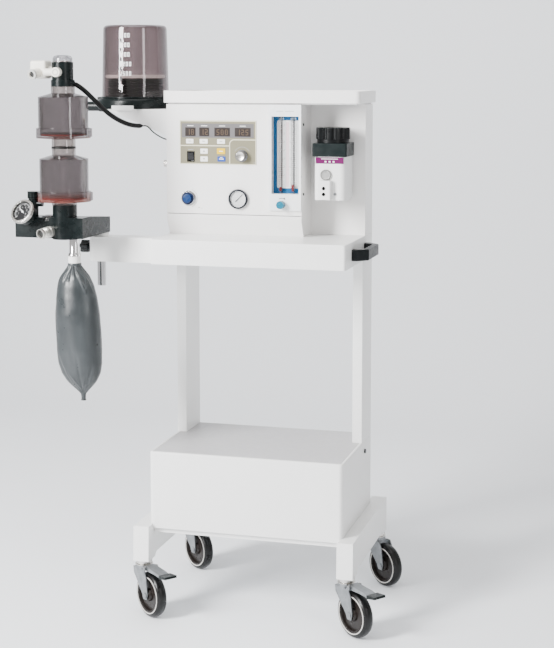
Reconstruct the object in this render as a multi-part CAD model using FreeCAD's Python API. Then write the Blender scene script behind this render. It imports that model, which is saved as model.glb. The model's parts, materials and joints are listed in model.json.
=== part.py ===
import FreeCAD, Part
import math
import os

V = FreeCAD.Vector

# Anaesthesia machine on a trolley, in millimetres.
# X runs to the machine's right, Y to its back and Z up.
# The design zero is on the floor under the middle of the trolley.
# When the files are written, every piece is moved by one shared step that puts
# the zero under the middle of the whole machine's box.

# ------------------------------------------------------------ driving sizes
HALF_WIDTH = 220.0          # base cover, worktop and cabinet share this half width
SHEET = 2.0                 # folded sheet steel
FIT = 0.05                  # radial clearance of a shaft in its bore
BACK = 134.5                # rear plane of base, posts and cabinet

LEG_OUTER_X = 249.0
LEG_WIDTH = 36.0
LEG_HALF_LENGTH = 185.0
LEG_TOP = 202.0
FOOT_BOTTOM = 123.0
FOOT_LENGTH = 40.0
BEAM_BOTTOM = 132.0

BASE_FRONT = -159.0
BASE_TOP = 366.0
COVER_BOTTOM = 193.0

POST_WIDTH = 22.5
POST_FRONT = 35.0

WORKTOP_FRONT = -143.0
WORKTOP_BOTTOM = 782.0
WORKTOP_TOP = 837.0

CABINET_FRONT = -28.0
CABINET_RIGHT = 94.5        # right side of the control housing, left of the alcove
ALCOVE_BACK = 57.0
PANEL_BOTTOM = 884.0        # seam between the front panel and the plinth
PLINTH_BEVEL = 18.0
SEAM = 1.4                 # open gap under the front panel
CABINET_TOP = 1131.0
SHELF_OVERHANG = 7.0
SHELF_BOTTOM = 1134.0
SHELF_TOP = 1161.0

ARM_END_X = -374.0
ARM_Y = -100.0
ARM_DEPTH = 50.0
POST_X = -351.0             # pivot post of the absorber, at the arm's end
PIVOT_RADIUS = 10.0

CANISTER_X = -387.0
CANISTER_Y = -220.0
BELLOWS_X = -323.0
BELLOWS_Y = 51.0

WHEEL_RADIUS = 50.0
TYRE_WIDTH = 24.0
CASTER_TRAIL = 30.0
CASTER_X = LEG_OUTER_X - LEG_WIDTH / 2
CASTER_Y = LEG_HALF_LENGTH - 18.0
CASTER_TURN = -38.0         # trail direction, degrees from +X

X_AXIS = V(1, 0, 0)
Y_AXIS = V(0, 1, 0)
Z_AXIS = V(0, 0, 1)

parts = {}


# ------------------------------------------------------------ small helpers
def box(x0, x1, y0, y1, z0, z1):
    return Part.makeBox(x1 - x0, y1 - y0, z1 - z0, V(x0, y0, z0))


def rod(start, axis, radius, length):
    """A cylinder from a start point along an axis."""
    return Part.makeCylinder(radius, length, V(*start), V(*axis))


def ring(start, axis, outer, inner, length):
    return rod(start, axis, outer, length).cut(rod(start, axis, inner, length))


def turned(profile, x, y):
    """A solid of revolution about the upright line at x, y from (radius, z) points."""
    points = [V(x + r, y, z) for r, z in profile]
    face = Part.Face(Part.makePolygon(points + [points[0]]))
    return face.revolve(V(x, y, 0), Z_AXIS, 360)


def prism(points, step):
    """A closed outline of 3-D points pushed along a vector."""
    corners = [V(*p) for p in points]
    return Part.Face(Part.makePolygon(corners + [corners[0]])).extrude(V(*step))


def span(edge):
    size = edge.BoundBox
    return size.XLength, size.YLength, size.ZLength


def is_upright(edge):
    dx, dy, dz = span(edge)
    return dx < 0.01 and dy < 0.01 and dz > 0.01


def rounded(shape, radius, wanted):
    return shape.makeFillet(radius, [edge for edge in shape.Edges if wanted(edge)])


def soft_box(x0, x1, y0, y1, z0, z1, radius):
    """A block with all its edges rounded."""
    block = box(x0, x1, y0, y1, z0, z1)
    return block.makeFillet(radius, block.Edges)


def joined(*shapes):
    result = shapes[0]
    for shape in shapes[1:]:
        result = result.fuse(shape)
    return result.removeSplitter()


def side_by_side(*shapes):
    """Separate solids kept in one node."""
    return Part.makeCompound(list(shapes))


def upright_rounded(x0, x1, y0, y1, z0, z1, radius, at_front=True, at_back=True):
    """A block whose upright corners are rounded at the front, the back or both."""
    def chosen(edge):
        if not is_upright(edge):
            return False
        y = edge.BoundBox.Center.y
        return (at_front and abs(y - y0) < 0.1) or (at_back and abs(y - y1) < 0.1)
    return rounded(box(x0, x1, y0, y1, z0, z1), radius, chosen)


# ------------------------------------------------------------ legs and chassis
def leg(side):
    """A welded box beam with a deeper foot at each end."""
    n = LEG_HALF_LENGTH
    outline = [(-n, LEG_TOP), (n, LEG_TOP), (n, FOOT_BOTTOM), (n - FOOT_LENGTH, FOOT_BOTTOM),
               (n - FOOT_LENGTH - 9, BEAM_BOTTOM), (-n + FOOT_LENGTH + 9, BEAM_BOTTOM),
               (-n + FOOT_LENGTH, FOOT_BOTTOM), (-n - 3, FOOT_BOTTOM)]
    outer = side * LEG_OUTER_X
    beam = prism([(outer, y, z) for y, z in outline], (-side * LEG_WIDTH, 0, 0))
    for y in (-CASTER_Y, CASTER_Y):
        beam = beam.cut(rod((side * CASTER_X, y, FOOT_BOTTOM), (0, 0, 1), 6.0, 30))
    def along_leg(edge):
        along_x = span(edge)[0]
        return along_x < 0.01 and edge.BoundBox.ZMin > FOOT_BOTTOM + 20
    return rounded(beam, 1.5, along_leg)


def chassis():
    """Front and rear rails between the legs, under the floor plate of the base."""
    inner = LEG_OUTER_X - LEG_WIDTH
    front_rail = box(-inner, inner, -150, -122, 181, 200)
    rear_rail = box(-inner, inner, 100, 130, 181, 200)
    floor = box(-inner + 0.5, inner - 0.5, BASE_FRONT + SHEET + 0.5, BACK - SHEET - 0.5, 200, 202)
    return side_by_side(front_rail, rear_rail, floor)


def base_cover():
    """Front and side walls of the base, with a narrow lip round the top panel."""
    w = HALF_WIDTH
    def front_edge(edge):
        at_front = abs(edge.BoundBox.Center.y - BASE_FRONT) < 0.1
        return is_upright(edge) and at_front
    def top_rim(edge):
        return edge.BoundBox.ZMin > BASE_TOP - 0.1 and edge.BoundBox.Center.y < BACK - 1
    def cavity_front(edge):
        return is_upright(edge) and edge.BoundBox.Center.y < BASE_FRONT + SHEET + 0.1
    outer = rounded(box(-w, w, BASE_FRONT, BACK, COVER_BOTTOM, BASE_TOP), 10, front_edge)
    outer = rounded(outer, 3, top_rim)
    cavity = box(-w + SHEET, w - SHEET, BASE_FRONT + SHEET, BACK + 1, COVER_BOTTOM - 1, BASE_TOP - SHEET)
    cavity = rounded(cavity, 8, cavity_front)
    opening = box(-w + 6, w - 6, BASE_FRONT + 7, BACK + 1, BASE_TOP - 5, BASE_TOP + 1)
    shell = outer.cut(cavity).cut(opening)
    for side in (-1, 1):
        near = side * (LEG_OUTER_X - LEG_WIDTH - 0.3)
        far = side * (w + 1)
        shell = shell.cut(box(min(near, far), max(near, far), BASE_FRONT - 1, BACK + 1, 190, LEG_TOP))
    return shell


def base_top_panel():
    w = HALF_WIDTH - 6.4
    return box(-w, w, BASE_FRONT + 7.4, BACK, BASE_TOP - SHEET, BASE_TOP)


def rear_covers():
    """The two screwed rear panels, one in the base and one on the cabinet."""
    w = HALF_WIDTH - SHEET - 0.2
    low = box(-w, w, BACK - SHEET, BACK, LEG_TOP, BASE_TOP - SHEET - 0.2)
    high = box(-w, w, BACK - SHEET, BACK, WORKTOP_TOP + SHEET + 0.2, CABINET_TOP - SHEET - 0.2)
    for z in (1035, 1045, 1055, 1065, 1075, 1085, 1095):
        high = high.cut(box(-60, 60, BACK - 5, BACK + 1, z, z + 4))
    low = low.cut(rod((150, BACK - 5, 250), (0, 1, 0), 11, 10))
    return side_by_side(low, high)


def post(side):
    """A rectangular upright tube between the base and the worktop."""
    inner = side * (HALF_WIDTH - POST_WIDTH)
    outer = side * HALF_WIDTH
    x0, x1 = min(inner, outer), max(inner, outer)
    bar = box(x0, x1, POST_FRONT, BACK, BASE_TOP, WORKTOP_BOTTOM)
    hollow = box(x0 + SHEET, x1 - SHEET, POST_FRONT + SHEET, BACK - SHEET, BASE_TOP - 1, WORKTOP_BOTTOM + 1)
    return rounded(bar, 1.5, is_upright).cut(hollow)


def worktop():
    """A folded pan closed from below by a plate."""
    w = HALF_WIDTH
    def outside_corner(edge):
        return is_upright(edge) and edge.BoundBox.Center.y < WORKTOP_FRONT + 1
    pan = rounded(box(-w, w, WORKTOP_FRONT, BACK, WORKTOP_BOTTOM, WORKTOP_TOP), 6, outside_corner)
    def top_rim(edge):
        return edge.BoundBox.ZMin > WORKTOP_TOP - 0.1 and edge.BoundBox.Center.y < BACK - 1
    pan = rounded(pan, 1.5, top_rim)
    cavity = box(-w + SHEET, w - SHEET, WORKTOP_FRONT + SHEET, BACK - SHEET,
                 WORKTOP_BOTTOM - 1, WORKTOP_TOP - SHEET)
    plate = box(-w + SHEET + 0.2, w - SHEET - 0.2, WORKTOP_FRONT + SHEET + 4, BACK - SHEET - 0.2,
                WORKTOP_BOTTOM, WORKTOP_BOTTOM + SHEET)
    return side_by_side(pan.cut(rounded(cavity, 4, is_upright)), plate)


def side_handle():
    """A moulded bow handle screwed to the worktop's right side."""
    z0, z1 = 796.0, 821.0
    y0, y1 = -84.0, 66.0
    w = HALF_WIDTH
    outline = [(w, y0, z0), (w, y0 + 20, z0), (w + 20, y0 + 32, z0), (w + 20, y1 - 32, z0),
               (w, y1 - 20, z0), (w, y1, z0), (w + 12, y1, z0), (w + 34, y1 - 22, z0),
               (w + 34, y0 + 22, z0), (w + 12, y0, z0)]
    bow = prism(outline, (0, 0, z1 - z0))
    def outer_edge(edge):
        return edge.BoundBox.XMax > w + 1
    return rounded(bow, 3, outer_edge)


# ------------------------------------------------------------ cabinet
def footprint(inset, back, z):
    """The cabinet's L-shaped plan, moved in by a wall thickness."""
    w = HALF_WIDTH - inset
    return [(-w, CABINET_FRONT + inset, z), (CABINET_RIGHT - inset, CABINET_FRONT + inset, z),
            (CABINET_RIGHT - inset, ALCOVE_BACK + inset, z), (w, ALCOVE_BACK + inset, z),
            (w, back, z), (-w, back, z)]


def cabinet_shell():
    """Folded cabinet with a bevelled plinth, an alcove at the right and an open back."""
    body = prism(footprint(0, BACK, WORKTOP_TOP), (0, 0, CABINET_TOP - WORKTOP_TOP))
    bevel = prism([(-HALF_WIDTH - 1, CABINET_FRONT - 1, WORKTOP_TOP - 1),
                   (-HALF_WIDTH - 1, CABINET_FRONT - 1, PANEL_BOTTOM - 10),
                   (-HALF_WIDTH - 1, CABINET_FRONT + PLINTH_BEVEL, WORKTOP_TOP - 1)],
                  (CABINET_RIGHT + HALF_WIDTH + 2, 0, 0))
    body = body.cut(bevel)
    upper = prism(footprint(SHEET, BACK + 1, PANEL_BOTTOM), (0, 0, CABINET_TOP - SHEET - PANEL_BOTTOM))
    lower_back = ALCOVE_BACK + SHEET
    lower = box(-HALF_WIDTH + SHEET, CABINET_RIGHT - SHEET, 0, lower_back, WORKTOP_TOP + SHEET, PANEL_BOTTOM)
    lower_rear = box(-HALF_WIDTH + SHEET, HALF_WIDTH - SHEET, lower_back, BACK + 1,
                     WORKTOP_TOP + SHEET, PANEL_BOTTOM)
    front = box(-HALF_WIDTH - 1, CABINET_RIGHT + 1, CABINET_FRONT - 1, CABINET_FRONT + SHEET,
                PANEL_BOTTOM, CABINET_TOP + 1)
    shell = body.cut(upper).cut(lower).cut(lower_rear).cut(front)
    return shell.cut(rod((-HALF_WIDTH - 1, 60, 1045), (1, 0, 0), 4.0, 6))


OVERLAY = (-188.0, -9.5, 997.0, 1095.0)
OVERLAY_FRONT = CABINET_FRONT - 1.2
ROCKER = (-162.0, 1014.0)
SELECTOR = (-42.0, 1017.0)
FLUSH = (-168.0, 920.0)
GAUGE = (-51.0, 920.5)
FLOW_FRAME = (20.0, 94.5, 897.0, 1131.0)
FLOW_WINDOW = (27.0, 89.0, 934.0, 1105.0)
FLOW_FRONT = CABINET_FRONT - 6.0
TUBE_X = (45.3, 73.3)
TUBE_Y = -24.0
FLOW_KNOB = (50.0, 910.5)


def front_panel():
    """The control panel plate with its cut-outs, and the collar of the flush valve."""
    y = CABINET_FRONT
    plate = box(-HALF_WIDTH, CABINET_RIGHT, y, y + SHEET, PANEL_BOTTOM + SEAM, CABINET_TOP)
    x0, x1, z0, z1 = FLOW_WINDOW
    plate = plate.cut(box(x0 - 2.2, x1 + 2.2, y - 1, y + 5, z0 - 2.2, z1 + 2.2))
    plate = plate.cut(rod((GAUGE[0], y - 1, GAUGE[1]), (0, 1, 0), 19, 6))
    plate = plate.cut(rod((FLUSH[0], y - 1, FLUSH[1]), (0, 1, 0), 15, 6))
    plate = plate.cut(rod((SELECTOR[0], y - 1, SELECTOR[1]), (0, 1, 0), 3 + FIT, 6))
    plate = plate.cut(rod((FLOW_KNOB[0], y - 1, FLOW_KNOB[1]), (0, 1, 0), 4, 6))
    plate = plate.cut(box(ROCKER[0] - 8, ROCKER[0] + 8, y - 1, y + 5, ROCKER[1] - 11, ROCKER[1] + 11))
    flange = rod((FLUSH[0], y - 2.5, FLUSH[1]), (0, 1, 0), 17, 2.5)
    nose = rod((FLUSH[0], y - 6, FLUSH[1]), (0, 1, 0), 14, 3.5)
    barrel = rod((FLUSH[0], y, FLUSH[1]), (0, 1, 0), 15, 22)
    collar = joined(flange, nose, barrel)
    collar = collar.cut(rod((FLUSH[0], y - 10, FLUSH[1]), (0, 1, 0), 10 + FIT, 28))
    return side_by_side(plate, collar)


def control_overlay():
    """The membrane keypad and display film on its backing plate."""
    x0, x1, z0, z1 = OVERLAY
    film = box(x0, x1, OVERLAY_FRONT, CABINET_FRONT, z0, z1)
    film = film.cut(rod((SELECTOR[0], -40, SELECTOR[1]), (0, 1, 0), 3 + FIT, 20))
    return film.cut(box(ROCKER[0] - 7.2, ROCKER[0] + 7.2, -40, 0, ROCKER[1] - 10.2, ROCKER[1] + 10.2))


def rocker_switch():
    """A shallow V of a rocker, at rest with its lower half pressed in."""
    y = OVERLAY_FRONT
    x0 = ROCKER[0] - 6.9
    z = ROCKER[1]
    outline = [(x0, y - 4.2, z + 8.6), (x0, y - 1.2, z), (x0, y - 0.2, z - 8.6),
               (x0, y + 5.0, z - 7.4), (x0, y + 7.0, z), (x0, y + 3.0, z + 8.4)]
    pivot = rod((ROCKER[0] - 7.9, y + 2.5, z), (1, 0, 0), 1.2, 15.8)
    return prism(outline, (13.8, 0, 0)).fuse(pivot)


def selector_knob():
    """The fluted metal encoder knob on its spindle."""
    x, z = SELECTOR
    skirt = rod((x, OVERLAY_FRONT - 3.4, z), (0, 1, 0), 13.5, 3)
    grip = rod((x, OVERLAY_FRONT - 16, z), (0, 1, 0), 11.5, 13)
    for index in range(24):
        angle = math.radians(index * 15)
        grip = grip.cut(rod((x + 11.9 * math.cos(angle), -60, z + 11.9 * math.sin(angle)), (0, 1, 0), 0.8, 50))
    spindle = rod((x, OVERLAY_FRONT - 3, z), (0, 1, 0), 3, 14)
    return joined(skirt, grip, spindle)


def flush_button():
    """The domed push button of the oxygen flush valve."""
    x, z = FLUSH
    stem = rod((x, -42, z), (0, 1, 0), 10, 26)
    return rounded(stem, 1.5, lambda edge: edge.BoundBox.YMax < -41.9)


def panel_gauge():
    """The supply pressure gauge: case, bezel, dial plate and stub shaft."""
    x, z = GAUGE
    bezel = rod((x, CABINET_FRONT - 8, z), (0, 1, 0), 22, 8)
    bezel = rounded(bezel, 1.5, lambda edge: edge.BoundBox.YMax < CABINET_FRONT - 7.9)
    case = rod((x, CABINET_FRONT, z), (0, 1, 0), 18.5, 24)
    pocket = rod((x, CABINET_FRONT - 9, z), (0, 1, 0), 18.5, 6)
    pivot = rod((x, CABINET_FRONT - 3.5, z), (0, 1, 0), 0.9, 1)
    return joined(bezel, case).cut(pocket).fuse(pivot)


def needle(length, tail, width, thickness, hub, bore):
    """A flat pointer along +Z with its hub at the zero, lying across Y."""
    blade = prism([(-width / 2, 0, 0), (-0.25, 0, length), (0.25, 0, length), (width / 2, 0, 0),
                   (width / 3, 0, -tail), (-width / 3, 0, -tail)], (0, thickness, 0))
    boss = rod((0, 0, 0), (0, 1, 0), hub, thickness)
    return blade.fuse(boss).cut(rod((0, -1, 0), (0, 1, 0), bore, thickness + 2))


def gauge_needle():
    pointer = needle(15, 5, 2.0, 0.6, 2.2, 0.9 + FIT)
    pointer.rotate(V(0, 0, 0), Y_AXIS, 42)
    pointer.translate(V(GAUGE[0], CABINET_FRONT - 4.6, GAUGE[1]))
    return pointer


# ------------------------------------------------------------ flowmeter
def flowmeter_frame():
    """The moulded bezel with a tray behind it for the tubes."""
    x0, x1, z0, z1 = FLOW_FRAME
    wx0, wx1, wz0, wz1 = FLOW_WINDOW
    bezel = box(x0, x1, FLOW_FRONT, CABINET_FRONT, z0, z1)
    tray = box(wx0 - 2, wx1 + 2, CABINET_FRONT, -15, wz0 - 2, wz1 + 2)
    window = box(wx0, wx1, FLOW_FRONT - 1, -17, wz0, wz1)
    body = joined(bezel, tray).cut(window)
    return body.cut(rod((FLOW_KNOB[0], -40, FLOW_KNOB[1]), (0, 1, 0), 3 + FIT, 30))


def flow_tubes():
    """Two glass tubes and the clear cover in front of them."""
    wx0, wx1, wz0, wz1 = FLOW_WINDOW
    tubes = [ring((x, TUBE_Y, wz0), (0, 0, 1), 5, 3.8, wz1 - wz0) for x in TUBE_X]
    cover = box(wx0 + 0.2, wx1 - 0.2, -32.5, -31, wz0 + 0.2, wz1 - 0.2)
    return side_by_side(cover, *tubes)


def flow_floats():
    """One float in each tube, standing on its seat."""
    small = turned([(0, 940), (2.2, 940), (3.4, 946), (3.4, 949), (0, 949)], TUBE_X[0], TUBE_Y)
    large = turned([(0, 940), (2.2, 940), (3.4, 948), (3.4, 954), (0, 954)], TUBE_X[1], TUBE_Y)
    return side_by_side(small, large)


def flow_knob():
    x, z = FLOW_KNOB
    grip = rod((x, FLOW_FRONT - 15, z), (0, 1, 0), 8.8, 14.6)
    for index in range(12):
        angle = math.radians(index * 30)
        grip = grip.cut(rod((x + 9.2 * math.cos(angle), -60, z + 9.2 * math.sin(angle)), (0, 1, 0), 1.2, 50))
    return joined(grip, rod((x, FLOW_FRONT - 1, z), (0, 1, 0), 3, 14))


# ------------------------------------------------------------ vaporizer
VAPOR_X = (118.8, 196.2)
VAPOR_Y = (-32.0, 50.0)
DIAL = (157.5, 6.0)
DIAL_BOTTOM = 1047.5
DIAL_TOP = 1081.0


def vaporizer_head():
    """The dark collar block, its back plate and the dial's spindle."""
    collar = upright_rounded(VAPOR_X[0], VAPOR_X[1], VAPOR_Y[0], VAPOR_Y[1], 1017.6, 1047, 4)
    back_plate = box(128, 187, VAPOR_Y[1], ALCOVE_BACK, 930, 1040)
    spindle = rod((DIAL[0], DIAL[1], 1046), (0, 0, 1), 6, 12)
    return joined(collar, back_plate, spindle)


def vaporizer_dial():
    """The fluted control dial with its lower skirt."""
    skirt = rod((DIAL[0], DIAL[1], DIAL_BOTTOM), (0, 0, 1), 35.5, 8)
    grip = rod((DIAL[0], DIAL[1], DIAL_BOTTOM + 8), (0, 0, 1), 37.8, DIAL_TOP - DIAL_BOTTOM - 8)
    grip = rounded(grip, 2, lambda edge: edge.BoundBox.ZMin > DIAL_TOP - 0.1)
    for index in range(12):
        angle = math.radians(index * 30 + 15)
        flute = rod((DIAL[0] + 40.5 * math.cos(angle), DIAL[1] + 40.5 * math.sin(angle), DIAL_BOTTOM),
                    (0, 0, 1), 5.5, 60)
        grip = grip.cut(flute)
    return joined(skirt, grip).cut(rod((DIAL[0], DIAL[1], DIAL_BOTTOM - 1), (0, 0, 1), 6 + FIT, 12))


def vaporizer_body():
    """The white body with its sight glass ring and the filler block."""
    body = upright_rounded(122, 194, -30, VAPOR_Y[1], 922, 1017.6, 14)
    ring_boss = rod((150, -34, 978), (0, 1, 0), 12, 4.5)
    ring_boss = ring_boss.cut(rod((150, -35, 978), (0, 1, 0), 8.5, 2.5))
    filler = upright_rounded(133, 163, -44, -30, 924, 966, 3, at_back=False)
    for z in (949, 936):
        filler = filler.cut(rod((148, -45, z), (0, 1, 0), 4.0, 9))
    screw = rod((170.5, -32, 936), (0, 1, 0), 3, 2.2)
    return side_by_side(joined(body, ring_boss, screw), filler)


# ------------------------------------------------------------ bellows unit
DECK_BOTTOM = 1116.0
DECK_TOP = 1119.0
GUSSET_BOTTOM = 1062.0
TAB_BACK = -44.0            # the upturned tab at the bracket's front edge
PORT_Z = 1123.0             # centre line of the hose port
DOME_BOTTOM = 1142.0
PLEATS_BOTTOM = 1146.0
DISC_BOTTOM = 1188.5


def bellows_bracket():
    """A gusseted shelf screwed to the cabinet's left side."""
    x1 = -HALF_WIDTH
    low = GUSSET_BOTTOM
    deck = box(-372, x1, -24, 110, DECK_BOTTOM, DECK_TOP)
    lip = box(-345, -292, -46, -24, DECK_BOTTOM, DECK_TOP)
    tab = box(-345, -292, -46, TAB_BACK, DECK_BOTTOM, DECK_TOP + 8)
    def gusset(y):
        return prism([(-360, y, DECK_BOTTOM), (x1, y, DECK_BOTTOM), (x1, y, low), (x1 - 6, y, low)],
                     (0, SHEET, 0))
    flange = box(x1 - SHEET, x1, -24, 110, low, DECK_BOTTOM)
    return joined(deck, lip, tab, gusset(-24), gusset(108), flange)


def bellows_base():
    """The moulded base block with the seat of the dome and the hose port."""
    z = DECK_TOP
    body = turned([(0, z), (88, z), (88, z + 18), (85, z + 22), (79, z + 22), (79, z + 24), (77.2, z + 24),
                   (77.2, DOME_BOTTOM), (70.8, DOME_BOTTOM), (70.8, z + 24), (62, z + 24),
                   (62, PLEATS_BOTTOM), (0, PLEATS_BOTTOM)], BELLOWS_X, BELLOWS_Y)
    lug = box(BELLOWS_X - 92, BELLOWS_X - 79.5, BELLOWS_Y - 8, BELLOWS_Y + 8, z + 17, z + 26)
    port = rod((BELLOWS_X - 118, BELLOWS_Y, PORT_Z), (1, 0, 0), 11, 33.5)
    boss = rod((BELLOWS_X - 89, BELLOWS_Y, PORT_Z), (1, 0, 0), 12.5, 8)
    whole = joined(body, lug, port, boss)
    return whole.cut(rod((BELLOWS_X - 119, BELLOWS_Y, PORT_Z), (1, 0, 0), 9, 40))


def bellows_dome():
    """The clear housing, slightly wider at its foot, with a rounded crown."""
    return turned([(0, 1309), (60, 1309), (68, 1306), (72.5, 1299), (77, DOME_BOTTOM), (71, DOME_BOTTOM),
                   (69, 1298), (66, 1302), (58, 1305), (0, 1305)], BELLOWS_X, BELLOWS_Y)


def bellows_disc():
    """The pressure plate that rides on top of the pleats."""
    plate = rod((BELLOWS_X, BELLOWS_Y, DISC_BOTTOM), (0, 0, 1), 66, 7.5)
    return rounded(plate, 2.5, lambda edge: edge.Curve.TypeId == "Part::GeomCircle")


def bellows_pleats():
    """The folded rubber bag, as a tube of sharp pleats."""
    count = 5
    low = PLEATS_BOTTOM
    pitch = (DISC_BOTTOM - low) / count
    outside = [(50, low)]
    for index in range(count):
        outside.append((62, low + pitch * (index + 0.5)))
        outside.append((50, low + pitch * (index + 1)))
    inside = [(r - 3, z) for r, z in reversed(outside)]
    return turned(outside + inside, BELLOWS_X, BELLOWS_Y)


# ------------------------------------------------------------ inside the housings
def internal_modules():
    """Ventilator board, supply, gas manifold with regulator, drive valve and the backup battery."""
    board = box(-190, -10, -18, -16.4, 1000, 1092)
    supply = box(-205, -105, 20, 110, 842, 900)
    manifold = joined(box(-80, 60, 30, 75, 850, 890), rod((-20, 52, 890), (0, 0, 1), 18, 50))
    drive_valve = box(-205, -150, 20, 90, 960, 1100)
    battery = box(-120, 31, -90, -25, 202, 296)
    return side_by_side(board, supply, manifold, drive_valve, battery)


# ------------------------------------------------------------ top shelf
def top_shelf():
    """A tray with a raised rim all round."""
    w = HALF_WIDTH + SHELF_OVERHANG
    y0 = CABINET_FRONT - SHELF_OVERHANG
    y1 = BACK + SHELF_OVERHANG
    rim = rounded(box(-w, w, y0, y1, SHELF_BOTTOM, SHELF_TOP), 12, is_upright)
    recess = rounded(box(-w + 5, w - 5, y0 + 5, y1 - 5, SHELF_TOP - 13, SHELF_TOP + 1), 8, is_upright)
    neck = box(-HALF_WIDTH + 3, HALF_WIDTH - 3, CABINET_FRONT + 4, BACK - 3, CABINET_TOP, SHELF_BOTTOM)
    return joined(rim.cut(recess), neck)


# ------------------------------------------------------------ absorber arm
def arm_beam():
    """The bracket arm left of the worktop, with the bore of the pivot post."""
    y0 = ARM_Y - ARM_DEPTH / 2
    y1 = ARM_Y + ARM_DEPTH / 2
    beam = box(ARM_END_X, -HALF_WIDTH, y0, y1, WORKTOP_BOTTOM, WORKTOP_TOP)
    def end_corner(edge):
        return is_upright(edge) and edge.BoundBox.XMax < ARM_END_X + 1
    beam = rounded(beam, 16, end_corner)
    beam = beam.cut(rod((POST_X, ARM_Y, 700), (0, 0, 1), PIVOT_RADIUS + FIT, 300))
    collar = ring((POST_X, ARM_Y, WORKTOP_TOP), (0, 0, 1), 17, PIVOT_RADIUS + FIT, 7.8)
    threaded = rod((ARM_END_X - 1, ARM_Y, 812), (1, 0, 0), 4 + FIT, 14)
    return joined(beam, collar).cut(threaded)


def clamp_knob():
    """The lobed knob whose screw clamps the pivot post."""
    x = ARM_END_X - 0.4
    hub = rod((x - 6, ARM_Y, 812), (1, 0, 0), 8, 6)
    head = rod((x - 24, ARM_Y, 812), (1, 0, 0), 11, 18)
    lobes = []
    for index in range(5):
        angle = math.radians(72 * index + 18)
        lobes.append(rod((x - 24, ARM_Y + 9.5 * math.cos(angle), 812 + 9.5 * math.sin(angle)),
                         (1, 0, 0), 5.2, 18))
    screw = rod((x - 1, ARM_Y, 812), (1, 0, 0), 4, 13)
    return joined(hub, head, screw, *lobes)


def arm_post():
    """The chrome pivot post, fixed in the absorber's bar and turning in the arm."""
    return rod((POST_X, ARM_Y, 725), (0, 0, 1), PIVOT_RADIUS, 845 - 725)


# ------------------------------------------------------------ absorber
BLOCK_BOTTOM = 845.0
BLOCK_TOP = 889.5
BLOCK_FRONT = -243.0
CAP_SEAT = (-420.0, -229.0)


def absorber_block():
    """The black valve block, its bar to the pivot post and the canister column."""
    block = box(-494, -336, BLOCK_FRONT, -192, BLOCK_BOTTOM, BLOCK_TOP)
    block = rounded(block, 2, lambda edge: is_upright(edge) and edge.BoundBox.XMax < -400)
    bar = prism([(-336, -200, BLOCK_BOTTOM), (-336, -84, BLOCK_BOTTOM), (-336, -84, BLOCK_TOP - 10),
                 (-336, -200, BLOCK_TOP)], (-32, 0, 0))
    column = rod((CANISTER_X, CANISTER_Y, BLOCK_BOTTOM - 3), (0, 0, 1), 27, 916 - BLOCK_BOTTOM + 3)
    apl_column = rod((-459, -222, BLOCK_TOP - 1), (0, 0, 1), 11, 40)
    side_stub = rod((-459, -222, 917), (1, 0, 0), 6, 22)
    whole = joined(block, bar, column, apl_column, side_stub)
    seat = rod((CAP_SEAT[0], CAP_SEAT[1], BLOCK_TOP - 8), (0, 0, 1), 15.3, 60)
    return whole.cut(seat)


def apl_knob():
    """The knob of the pressure limiting valve on its column."""
    knob = rod((-459, -222, 929), (0, 0, 1), 13, 15)
    for index in range(10):
        angle = math.radians(index * 36)
        knob = knob.cut(rod((-459 + 14 * math.cos(angle), -222 + 14 * math.sin(angle), 920), (0, 0, 1), 2.2, 40))
    return knob


def canister(low, neck_top, body_radius, flange_radius):
    """A clear canister: foot flange, cylinder, sloping shoulder and neck."""
    wall = 3.5
    flange_top = low + 24
    shoulder = neck_top - 22
    profile = [(25, low), (flange_radius, low + 3), (flange_radius, flange_top),
               (body_radius, flange_top + 1), (body_radius, shoulder), (25.5, shoulder + 8),
               (25.5, neck_top), (25.5 - wall, neck_top), (25.5 - wall, shoulder + 6),
               (body_radius - wall, shoulder - 2), (body_radius - wall, low + 8), (22, low + 5), (22, low)]
    return turned(profile, CANISTER_X, CANISTER_Y)


LOWER_FLOOR = 921.0
LOWER_TOP = 1038.0
UPPER_NECK = 1042.0
UPPER_FLOOR = 1058.0
UPPER_TOP = 1171.0


def clip_tab(z):
    """The clear latch tab on a canister flange's right side."""
    return box(CANISTER_X + 55, CANISTER_X + 63, CANISTER_Y - 8, CANISTER_Y + 8, z, z + 18)


def lower_canister():
    return joined(canister(LOWER_FLOOR, LOWER_TOP, 52.5, 58), clip_tab(LOWER_FLOOR + 6))


def upper_canister():
    return joined(canister(UPPER_FLOOR, UPPER_TOP, 53.5, 58.5), clip_tab(UPPER_FLOOR + 6))


def canister_seals():
    """Foot rings under each canister and the joint ring between the two."""
    foot = turned([(22, 916), (27, 916), (27, LOWER_FLOOR), (22, LOWER_FLOOR)], CANISTER_X, CANISTER_Y)
    middle = turned([(21, LOWER_TOP), (26.5, LOWER_TOP), (26.5, UPPER_NECK), (21, UPPER_NECK)],
                    CANISTER_X, CANISTER_Y)
    sleeve = turned([(21, UPPER_NECK), (25.5, UPPER_NECK), (25.5, UPPER_FLOOR), (21, UPPER_FLOOR)],
                    CANISTER_X, CANISTER_Y)
    gaskets = [turned([(24, z), (48.5, z), (48.5, z + 3), (24, z + 3)], CANISTER_X, CANISTER_Y)
               for z in (LOWER_FLOOR + 8.5, UPPER_FLOOR + 8.5)]
    return side_by_side(foot, middle, sleeve, *gaskets)


COIL_DIAMETER = 11.0
TAIL_DIAMETER = 3.2
CORD_START = (-363.0, -220.0, 1179.0)
CORD_NEXT = (-352.0, -203.5, 1170.0)


HEAD_RADIUS = 23.0


def toward(start, end):
    step = V(*end).sub(V(*start))
    return step.normalize()


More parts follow.
